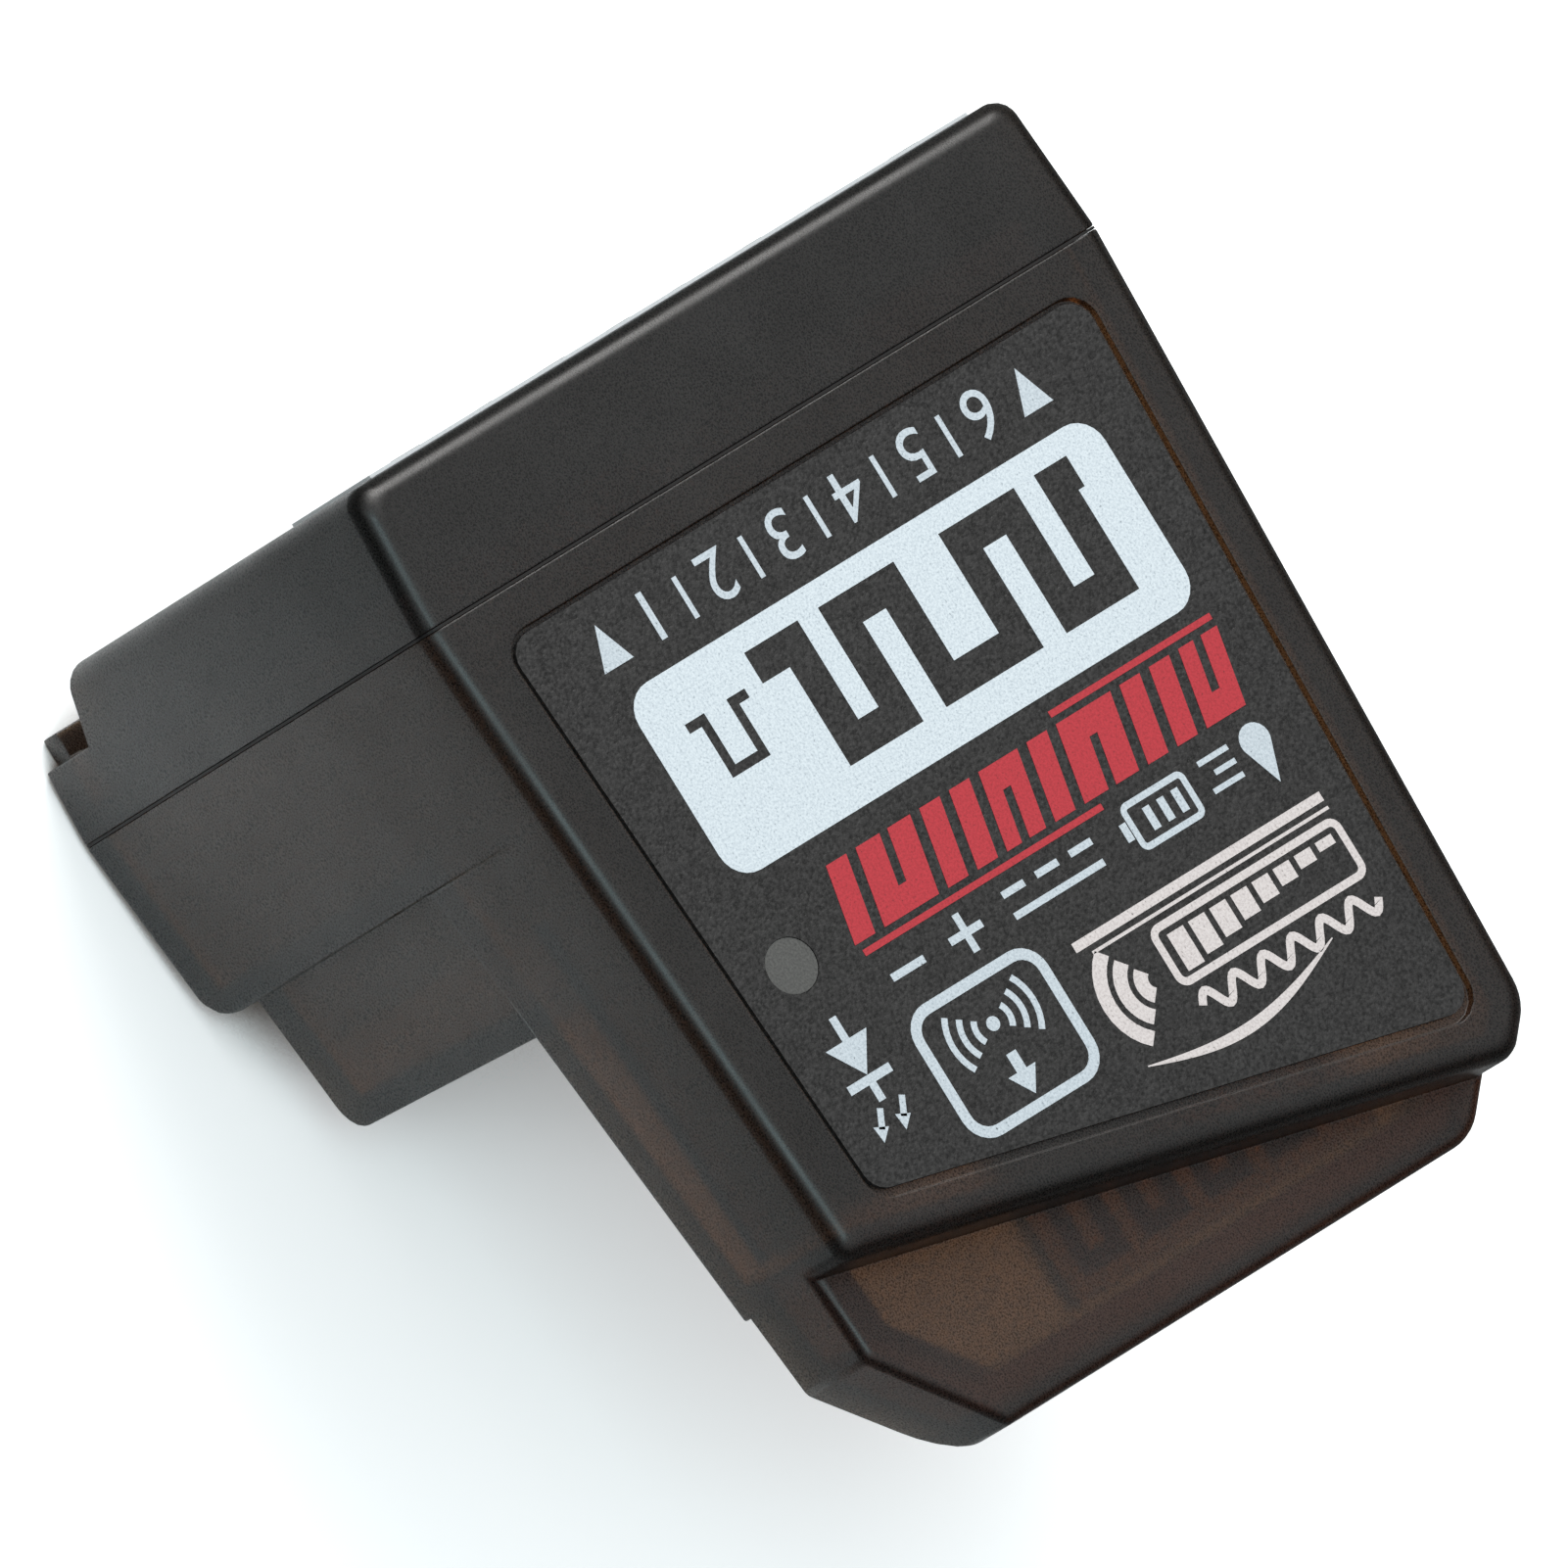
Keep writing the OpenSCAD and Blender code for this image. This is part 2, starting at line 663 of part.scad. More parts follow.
module port_board() framed() color(laminate) difference() {
    span([port_board_x, -port_board_w / 2, port_board_low],
         [port_board_back, port_board_w / 2, board_z - board_fit]);
    for (i = [1 : port_count], j = [1 : port_pins_count])
        translate([port_board_x, row_y(i, port_count, pitch), row_z + row_y(j, port_pins_count, pitch)])
            rotate([0, 90, 0]) cylinder(h = 2 * board_t + over, d = pin_hole_d, center = true);
    for (i = [1 : link_count])
        translate([port_board_x, row_y(i, link_count, link_pitch), link_z])
            rotate([0, 90, 0]) cylinder(h = 2 * board_t + over, d = link_hole_d, center = true);
}

module pin_carrier() framed() color(carrier_black) difference() {
    span([carrier_x, -port_count * pitch / 2, row_z - port_pins_count * pitch / 2],
         [port_board_x, port_count * pitch / 2, row_z + port_pins_count * pitch / 2]);
    for (i = [1 : port_count], j = [1 : port_pins_count])
        pin_shape(i, j, pin_w + 2 * pin_fit);
}

// One straight pin, with a tip that narrows, in a given port and row
module pin_shape(i, j, w) {
    x1 = port_board_back + tail_l;
    translate([0, row_y(i, port_count, pitch), row_z + row_y(j, port_pins_count, pitch)])
        side_prism([
            [pin_in, -w / 4], [pin_in + w / 2, -w / 2], [x1, -w / 2],
            [x1, w / 2], [pin_in + w / 2, w / 2], [pin_in, w / 4]
        ], w / 2);
}

module port_pins(i) framed() color(gold)
    for (j = [1 : port_pins_count]) pin_shape(i, j, pin_w);

module link_bar() framed() color(carrier_black) difference() {
    half = link_count * link_pitch / 2;
    span([port_board_back, -half, link_z - link_bar_h / 2],
         [port_board_back + link_bar_t, half, link_z + link_bar_h / 2]);
    for (i = [1 : link_count]) link_pin(i, link_w + 2 * pin_fit);
}

// One link pin, bent from the port board up through the main board
module link_pin(i, w) {
    x0 = port_board_x - link_w;
    z1 = board_top + link_w;
    translate([0, row_y(i, link_count, link_pitch), 0])
        side_prism([
            [x0, link_z - w / 2], [link_x + w / 2, link_z - w / 2], [link_x + w / 2, z1],
            [link_x - w / 2, z1], [link_x - w / 2, link_z + w / 2], [x0, link_z + w / 2]
        ], w / 2);
}

module link_pins() framed() color(gold) for (i = [1 : link_count]) link_pin(i, link_w);

// Flat pack with gull leads on its four sides
module controller_chip() framed() color(chip_black) on_board(controller_x, controller_y, part_k) {
    flat_box([controller_w, controller_w, controller_h - lead_t], lead_t);
    for (a = [0 : 90 : 270], i = [1 : leads_a_side])
        rotate([0, 0, a]) translate([0, row_y(i, leads_a_side, lead_pitch), 0]) {
            span([controller_w / 2 + lead_out / 3, -lead_w / 2, 0],
                 [controller_w / 2 + lead_out, lead_w / 2, lead_t]);
            span([controller_w / 2 - lead_w, -lead_w / 2, controller_h / 2 - lead_t],
                 [controller_w / 2 + lead_out / 2, lead_w / 2, controller_h / 2]);
            span([controller_w / 2 + lead_out / 3, -lead_w / 2, 0],
                 [controller_w / 2 + lead_out / 2, lead_w / 2, controller_h / 2]);
        }
}

module radio_chip() framed() color(chip_black)
    on_board(radio_x, radio_y, part_k) flat_box([radio_w, radio_w, radio_h]);

// Metal can with a lower rim
module crystal() framed() color(tin) on_board(crystal_x, choke_y, part_k) {
    flat_box([crystal_w, crystal_l, crystal_h / 2]);
    flat_box([crystal_w - 2 * crystal_rim, crystal_l - 2 * crystal_rim, crystal_h]);
}

// Body with a broad tab on one side and three legs on the other
module regulator() framed() color(chip_black) on_board(power_x, regulator_y) {
    flat_box([regulator_w, regulator_l, regulator_h - lead_t], lead_t);
    span([-regulator_w / 2 - regulator_leg, -regulator_l / 4, 0], [0, regulator_l / 4, regulator_h / 2]);
    for (i = [1 : 3])
        translate([0, row_y(i, 3, regulator_l / 3), 0])
            span([0, -lead_w, 0], [regulator_w / 2 + regulator_leg, lead_w, regulator_h / 2]);
}

module input_capacitor() framed() color(ceramic)
    on_board(power_x, input_y) flat_box([capacitor_w, capacitor_l, capacitor_h]);

module output_capacitor() framed() color(ceramic)
    on_board(power_x, output_y) flat_box([capacitor_w, capacitor_l, capacitor_h]);

// Drum core on a square base
module filter_choke() framed() color(chip_black) on_board(choke_x, choke_y, part_k) {
    flat_box([choke_w, choke_w, choke_cap_t]);
    cylinder(h = choke_h, d = choke_core_d);
    translate([0, 0, choke_h - choke_cap_t]) cylinder(h = choke_cap_t, d = choke_w);
}

// Lamp body with a raised lens
module status_lamp() framed() color(lamp_white) on_board(lamp_x, -lamp_y) {
    flat_box([status_l, status_w, status_h / 2]);
    flat_box([status_lens_l, status_w, status_h]);
}

// Small resistors and capacitors in short rows
module chip_parts() framed() color(ceramic)
    for (row = chip_rows, i = [0 : row[2] - 1])
        on_board(row.x, row.y + i * chip_step * row[3], row[3]) flat_box([chip_l, chip_w, chip_h]);

// Folded track on the arm that lies in the ledge
module printed_antenna() framed() color(copper) {
    x0 = board_end + trace_rim;
    x1 = arm_end - trace_rim;
    y0 = trace_rim - arm_y;
    step = 2 * trace_w;
    turns = floor((arm_far_y + arm_y - 2 * trace_rim - trace_w) / step);
    for (k = [0 : turns])
        span([x0, y0 + k * step, board_top], [x1, y0 + k * step + trace_w, board_top + trace_t]);
    for (k = [0 : turns - 1])
        let (x = k % 2 == 0 ? x1 - trace_w : x0)
        span([x, y0 + k * step, board_top],
             [x + trace_w, y0 + (k + 1) * step + trace_w, board_top + trace_t]);
}

housing();
lid();
face_label();
port_label();
main_board();
port_board();
pin_carrier();
port_pins(1);  // port_1_pins
port_pins(2);  // port_2_pins
port_pins(3);  // port_3_pins
port_pins(4);  // port_4_pins
port_pins(5);  // port_5_pins
port_pins(6);  // port_6_pins
link_bar();
link_pins();
controller_chip();
radio_chip();
crystal();
regulator();
input_capacitor();
output_capacitor();
filter_choke();
status_lamp();
chip_parts();
printed_antenna();
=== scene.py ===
"""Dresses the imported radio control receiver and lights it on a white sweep.

Lengths below are in millimetres. A print or fitting is placed by its distance from the port
face, across the case from its middle line and out of its face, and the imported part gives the
places of those faces.
"""

import logging
import math
from dataclasses import dataclass, field
from enum import Enum

import bmesh
import bpy
import numpy as np
from mathutils import Matrix, Vector
from mathutils.geometry import tessellate_polygon

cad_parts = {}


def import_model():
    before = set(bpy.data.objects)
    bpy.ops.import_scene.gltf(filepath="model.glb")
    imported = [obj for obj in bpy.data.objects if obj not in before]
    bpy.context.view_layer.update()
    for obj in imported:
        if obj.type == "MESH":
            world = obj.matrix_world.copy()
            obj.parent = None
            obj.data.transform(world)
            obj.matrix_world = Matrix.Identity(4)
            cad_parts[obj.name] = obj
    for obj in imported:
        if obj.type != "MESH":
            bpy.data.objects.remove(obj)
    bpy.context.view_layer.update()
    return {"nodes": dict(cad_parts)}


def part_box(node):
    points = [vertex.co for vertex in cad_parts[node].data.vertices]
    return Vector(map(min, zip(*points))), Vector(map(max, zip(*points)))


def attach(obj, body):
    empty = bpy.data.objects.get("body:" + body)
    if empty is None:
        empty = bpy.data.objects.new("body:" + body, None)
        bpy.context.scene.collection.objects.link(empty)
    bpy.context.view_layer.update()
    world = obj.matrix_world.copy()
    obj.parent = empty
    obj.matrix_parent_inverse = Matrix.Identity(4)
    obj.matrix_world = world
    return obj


MM = 0.001
BODY = "root"

log = logging.getLogger("receiver")


class Slot(Enum):
    """Material slots of the record, one of which each added print piece carries."""

    CASE = "smoke_case"
    LABEL = "label_film"
    PORT_LABEL = "port_paper"
    CAN = "can_metal"
    RESIN = "chip_resin"


def linear(code: str) -> tuple[float, float, float, float]:
    """Turns an sRGB hex colour into the linear colour that shaders use.

    Args:
        code: Colour as "#rrggbb".

    Returns:
        Linear red, green and blue, and an alpha of one.
    """
    values = [int(code[i : i + 2], 16) / 255 for i in (1, 3, 5)]
    return (*[v / 12.92 if v <= 0.04045 else ((v + 0.055) / 1.055) ** 2.4 for v in values], 1.0)


def add_node(tree: bpy.types.NodeTree, kind: str, links: dict | None = None, **values) -> bpy.types.Node:
    """Adds one shader node with its settings, constants and links.

    Args:
        tree: Node tree that gets the node.
        kind: Blender's name of the node type.
        links: Input name or number to the output socket that feeds it.
        **values: Node settings by name, socket constants as `in_` and the socket's name with
            underscores for spaces, and `ramp` as a list of positions and linear colours.

    Returns:
        The new node.
    """
    node = tree.nodes.new(kind)
    stops = values.pop("ramp", [])
    while stops and len(node.color_ramp.elements) < len(stops):
        node.color_ramp.elements.new(1.0)
    for element, (position, colour) in zip(node.color_ramp.elements if stops else [], stops):
        element.position, element.color = position, colour
    for name, value in values.items():
        if not name.startswith("in_"):
            setattr(node, name, value)
    for name, value in values.items():
        if name.startswith("in_"):
            key = name[3:]
            socket = node.inputs[int(key)] if key.isdigit() else node.inputs[key.replace("_", " ")]
            socket.default_value = value
    for key, source in (links or {}).items():
        tree.links.new(source, node.inputs[key])
    return node


def new_material(name: str) -> tuple[bpy.types.Material, bpy.types.NodeTree, bpy.types.NodeSocket]:
    """Makes an empty material that reads Object coordinates.

    Args:
        name: Name of the material.

    Returns:
        The material, its node tree and the Object coordinate output.
    """
    material = bpy.data.materials.new(name)
    material.use_nodes = True
    material.node_tree.nodes.clear()
    place = add_node(material.node_tree, "ShaderNodeTexCoord").outputs["Object"]
    return material, material.node_tree, place


def assign(piece: bpy.types.Object, material: bpy.types.Material) -> None:
    """Puts one material in every slot of a piece."""
    if not piece.data.materials:
        piece.data.materials.append(material)
    for slot in piece.material_slots:
        slot.material = material


@dataclass(frozen=True)
class SmokePolycarbonate:
    """Injection moulded polycarbonate with a smoke dye and a spark eroded mould texture.

    The dye lets a little brown light through thin walls, and the texture gives a soft sheen.
    Losses are per metre of plastic.
    """

    name: str = "smoke_polycarbonate"
    haze: float = 0.005
    haze_dark: str = "#35302c"
    haze_light: str = "#fff4e8"
    red_loss: float = 890.0
    green_loss: float = 1230.0
    blue_loss: float = 1640.0
    roughness: tuple[float, float] = (0.33, 0.4)
    ior: float = 1.5
    grain: float = 0.055
    grain_depth: float = 0.0022
    cloud: float = 2.4

    def material(self) -> bpy.types.Material:
        """Builds the clear rough surface, a trace of haze, and the dye as a volume."""
        material, tree, place = new_material(self.name)
        grain = add_node(tree, "ShaderNodeTexNoise", {"Vector": place}, in_Scale=1 / (self.grain * MM), in_Detail=2.0)
        cloud = add_node(tree, "ShaderNodeTexNoise", {"Vector": place}, in_Scale=1 / (self.cloud * MM), in_Detail=3.0)
        rough = add_node(tree, "ShaderNodeMapRange", {"Value": cloud.outputs["Fac"]}, in_From_Min=0.3, in_From_Max=0.7,
                         in_To_Min=self.roughness[0], in_To_Max=self.roughness[1])
        bump = add_node(tree, "ShaderNodeBump", {"Height": grain.outputs["Fac"]}, in_Distance=self.grain_depth * MM)
        haze = add_node(tree, "ShaderNodeValToRGB", {"Fac": grain.outputs["Fac"]},
                        ramp=[(0.36, linear(self.haze_dark)), (0.64, linear(self.haze_light))])
        shader = add_node(tree, "ShaderNodeBsdfPrincipled",
                          {"Normal": bump.outputs["Normal"], "Roughness": rough.outputs["Result"],
                           "Base Color": haze.outputs["Color"]},
                          in_IOR=self.ior, in_Transmission_Weight=1 - self.haze)
        most = 2 * self.blue_loss
        kept = [1 - loss / most for loss in (self.red_loss, self.green_loss, self.blue_loss)]
        dye = add_node(tree, "ShaderNodeVolumeAbsorption", in_Color=(*kept, 1.0), in_Density=most)
        add_node(tree, "ShaderNodeOutputMaterial",
                 {"Surface": shader.outputs["BSDF"], "Volume": dye.outputs["Volume"]})
        return material


@dataclass(frozen=True)
class GrainedFinish:
    """Opaque moulded, printed or plated surface with a fine grain and a broad unevenness."""

    name: str
    dark: str
    light: str
    roughness: float = 0.5
    metallic: float = 0.0
    grain: float = 0.1
    grain_depth: float = 0.002
    cloud: float = 1.5
    stretch: tuple[float, float, float] = (1.0, 1.0, 1.0)

    def material(self) -> bpy.types.Material:
        """Builds colour, roughness and relief from one grain and one broad pattern."""
        material, tree, place = new_material(self.name)
        turned = add_node(tree, "ShaderNodeMapping", {"Vector": place}, in_Scale=self.stretch).outputs["Vector"]
        grain = add_node(tree, "ShaderNodeTexNoise", {"Vector": turned}, in_Scale=1 / (self.grain * MM), in_Detail=2.0)
        cloud = add_node(tree, "ShaderNodeTexNoise", {"Vector": place}, in_Scale=1 / (self.cloud * MM), in_Detail=3.0)
        colour = add_node(tree, "ShaderNodeValToRGB", {"Fac": grain.outputs["Fac"]},
                          ramp=[(0.3, linear(self.dark)), (0.7, linear(self.light))])
        rough = add_node(tree, "ShaderNodeMapRange", {"Value": cloud.outputs["Fac"]}, in_From_Min=0.3, in_From_Max=0.7,
                         in_To_Min=self.roughness - 0.06, in_To_Max=self.roughness + 0.06)
        bump = add_node(tree, "ShaderNodeBump", {"Height": grain.outputs["Fac"]}, in_Distance=self.grain_depth * MM)
        shader = add_node(tree, "ShaderNodeBsdfPrincipled",
                          {"Base Color": colour.outputs["Color"], "Roughness": rough.outputs["Result"],
                           "Normal": bump.outputs["Normal"]}, in_Metallic=self.metallic)
        add_node(tree, "ShaderNodeOutputMaterial", {"Surface": shader.outputs["BSDF"]})
        return material


@dataclass(frozen=True)
class ScreenInk:
    """Screen printed ink whose pigment lies unevenly, with pinholes down to the dark film."""

    name: str
    pale: str
    deep: str
    hole: str = "#3a3939"
    roughness: float = 0.55
    grain: float = 0.075
    hole_share: float = 0.34
    grain_depth: float = 0.006

    def material(self) -> bpy.types.Material:
        """Builds the ink: noise at the screen's mesh size picks pinhole, thin or full pigment."""
        material, tree, place = new_material(self.name)
        grain = add_node(tree, "ShaderNodeTexNoise", {"Vector": place}, in_Scale=1 / (self.grain * MM),
                         in_Detail=3.0, in_Roughness=0.65)
        colour = add_node(tree, "ShaderNodeValToRGB", {"Fac": grain.outputs["Fac"]},
                          ramp=[(self.hole_share - 0.06, linear(self.hole)), (self.hole_share, linear(self.deep)),
                                (0.6, linear(self.pale))])
        bump = add_node(tree, "ShaderNodeBump", {"Height": grain.outputs["Fac"]}, in_Distance=self.grain_depth * MM)
        shader = add_node(tree, "ShaderNodeBsdfPrincipled",
                          {"Base Color": colour.outputs["Color"], "Normal": bump.outputs["Normal"]},
                          in_Roughness=self.roughness)
        add_node(tree, "ShaderNodeOutputMaterial", {"Surface": shader.outputs["BSDF"]})
        return material


@dataclass(frozen=True)
class MaskedLaminate:
    """Glass laminate board under green solder mask, with etched tracks and plated vias.

    Past `bare_x` the board has no mask, as under an antenna, and its tan glass lets light through.
    """

    name: str = "masked_glass_laminate"
    mask: str = "#16392a"
    track: str = "#25583f"
    via: str = "#b9a35c"
    bare: str = "#e0bd8c"
    bare_clear: float = 0.85
    bare_x: float = 20.6
    track_w: float = 0.25
    track_step: float = 0.9
    via_step: float = 1.9

    def material(self) -> bpy.types.Material:
        """Builds tracks from a brick pattern and vias from the cell centres of a Voronoi."""
        material, tree, place = new_material(self.name)
        unit = add_node(tree, "ShaderNodeMapping", {"Vector": place}, in_Scale=(1 / MM,) * 3,
                        in_Rotation=(0.0, 0.0, math.radians(90))).outputs["Vector"]
        tracks = add_node(tree, "ShaderNodeTexBrick", {"Vector": unit}, in_Color1=linear(self.mask),
                          in_Color2=linear(self.mask), in_Mortar=linear(self.track), in_Scale=1.0,
                          in_Mortar_Size=self.track_w / 2, in_Mortar_Smooth=0.0, in_Brick_Width=4 * self.track_step,
                          in_Row_Height=self.track_step)
        cells = add_node(tree, "ShaderNodeTexVoronoi", {"Vector": unit}, in_Scale=1 / self.via_step, in_Randomness=0.6)
        vias = add_node(tree, "ShaderNodeMath", {0: cells.outputs["Distance"]}, operation="LESS_THAN", in_1=0.09)
        colour = add_node(tree, "ShaderNodeMix", {0: vias.outputs[0], 6: tracks.outputs["Color"]},
                          data_type="RGBA", in_7=linear(self.via))
        along = add_node(tree, "ShaderNodeSeparateXYZ", {"Vector": place}).outputs["X"]
        past = add_node(tree, "ShaderNodeMath", {0: along}, operation="GREATER_THAN", in_1=self.bare_x * MM)
        colour = add_node(tree, "ShaderNodeMix", {0: past.outputs[0], 6: colour.outputs[2]},
                          data_type="RGBA", in_7=linear(self.bare))
        metal = add_node(tree, "ShaderNodeMath", {0: vias.outputs[0], 1: past.outputs[0]}, operation="GREATER_THAN")
        clear = add_node(tree, "ShaderNodeMath", {0: past.outputs[0]}, operation="MULTIPLY", in_1=self.bare_clear)
        bump = add_node(tree, "ShaderNodeBump", {"Height": tracks.outputs["Fac"]}, in_Distance=0.03 * MM)
        shader = add_node(tree, "ShaderNodeBsdfPrincipled",
                          {"Base Color": colour.outputs[2], "Metallic": metal.outputs[0],
                           "Transmission Weight": clear.outputs[0],
                           "Normal": bump.outputs["Normal"]}, in_Roughness=0.34)
        add_node(tree, "ShaderNodeOutputMaterial", {"Surface": shader.outputs["BSDF"]})
        return material


@dataclass(frozen=True)
class TinnedEnds:
    """Moulded or fired body with tinned metal beyond given places, as on chips and their leads.

    The body's places are pairs of low and high ends along one axis, in millimetres.
    """

    name: str
    body: str
    body_light: str
    axis: str
    places: tuple[tuple[float, float], ...]
    tin: str = "#c3c6c9"
    roughness: float = 0.45
    grain: float = 0.06

    def material(self) -> bpy.types.Material:
        """Builds a mask that is 0 between each pair of ends and 1 beyond, and mixes by it."""
        material, tree, place = new_material(self.name)
        along = add_node(tree, "ShaderNodeSeparateXYZ", {"Vector": place}).outputs[self.axis]
        inside = None
        for low, high in self.places:
            off = add_node(tree, "ShaderNodeMath", {0: along}, operation="SUBTRACT", in_1=(low + high) / 2 * MM)
            far = add_node(tree, "ShaderNodeMath", {0: off.outputs[0]}, operation="ABSOLUTE")
            near = add_node(tree, "ShaderNodeMath", {0: far.outputs[0]}, operation="LESS_THAN", in_1=(high - low) / 2 * MM)
            inside = near if inside is None else add_node(
                tree, "ShaderNodeMath", {0: inside.outputs[0], 1: near.outputs[0]}, operation="MAXIMUM")
        tinned = add_node(tree, "ShaderNodeMath", {1: inside.outputs[0]}, operation="SUBTRACT", in_0=1.0)
        grain = add_node(tree, "ShaderNodeTexNoise", {"Vector": place}, in_Scale=1 / (self.grain * MM), in_Detail=2.0)
        body = add_node(tree, "ShaderNodeValToRGB", {"Fac": grain.outputs["Fac"]},
                        ramp=[(0.3, linear(self.body)), (0.7, linear(self.body_light))])
        colour = add_node(tree, "ShaderNodeMix", {0: tinned.outputs[0], 6: body.outputs["Color"]},
                          data_type="RGBA", in_7=linear(self.tin))
        bump = add_node(tree, "ShaderNodeBump", {"Height": grain.outputs["Fac"]}, in_Distance=0.002 * MM)
        shader = add_node(tree, "ShaderNodeBsdfPrincipled",
                          {"Base Color": colour.outputs[2], "Metallic": tinned.outputs[0],
                           "Normal": bump.outputs["Normal"]}, in_Roughness=self.roughness)
        add_node(tree, "ShaderNodeOutputMaterial", {"Surface": shader.outputs["BSDF"]})
        return material


FILM = GrainedFinish("matt_polyester_film", "#030303", "#323131", roughness=0.44, grain=0.1, grain_depth=0.02)
PAPER = GrainedFinish("silvered_satin_film", "#b9bdc0", "#c6cacd", roughness=0.5, grain=0.08)
NYLON = GrainedFinish("black_glass_filled_nylon", "#0f0f11", "#19191b", roughness=0.5, grain=0.05,
                      stretch=(1.0, 0.2, 1.0), grain_depth=0.004)
GOLD = GrainedFinish("gold_flash_on_nickel", "#c79f46", "#dbb765", roughness=0.26, metallic=1.0, grain=0.2,
                     grain_depth=0.0006)
RESIN = GrainedFinish("black_epoxy_moulding", "#1b1b1d", "#27272a", roughness=0.55, grain=0.05, grain_depth=0.003)
CAN = GrainedFinish("drawn_tinned_steel", "#b2b6ba", "#c8ccce", roughness=0.3, metallic=1.0, grain=0.25,
                    stretch=(1.0, 0.15, 1.0), grain_depth=0.0008)
SOLDER = GrainedFinish("tin_silver_solder", "#bfc2c4", "#d6d9da", roughness=0.22, metallic=1.0, grain=0.15,
                       grain_depth=0.002)
FERRITE = GrainedFinish("ground_ferrite", "#29292d", "#3b3b41", roughness=0.6, grain=0.09, grain_depth=0.004)
LAMP = GrainedFinish("milky_lamp_epoxy", "#dcdad0", "#f0eee6", roughness=0.3, grain=0.2)
# Nearly black fill for the seam groove: painted shade for the hairline gap between lid and housing.
WELD = GrainedFinish("painted_seam_shade", "#070706", "#0e0d0c", roughness=0.6, grain=0.15)
WINDOW = GrainedFinish("frosted_lamp_window", "#414140", "#565654", roughness=0.5, grain=0.07, grain_depth=0.004)
COPPER = GrainedFinish("copper_under_clear_mask", "#8f5c34", "#a86c3e", roughness=0.4, metallic=1.0, grain=0.2)
DOT = GrainedFinish("laser_marked_resin", "#8b8b88", "#9c9c98", roughness=0.6, grain=0.05)

SILVER_INK = ScreenInk("silver_white_screen_ink", "#bec7ce", "#a2acb4")
BADGE_INK = ScreenInk("silver_badge_screen_ink", "#cbd4da", "#b2bcc4", hole="#8d959c", hole_share=0.36)
WARM_INK = ScreenInk("warm_white_screen_ink", "#cdc6c5", "#b5adac")
RED_INK = ScreenInk("red_screen_ink", "#b32733", "#9c1c28", hole="#5a171c")
BLACK_INK = ScreenInk("black_screen_ink", "#141416", "#0e0e10", hole="#202022")


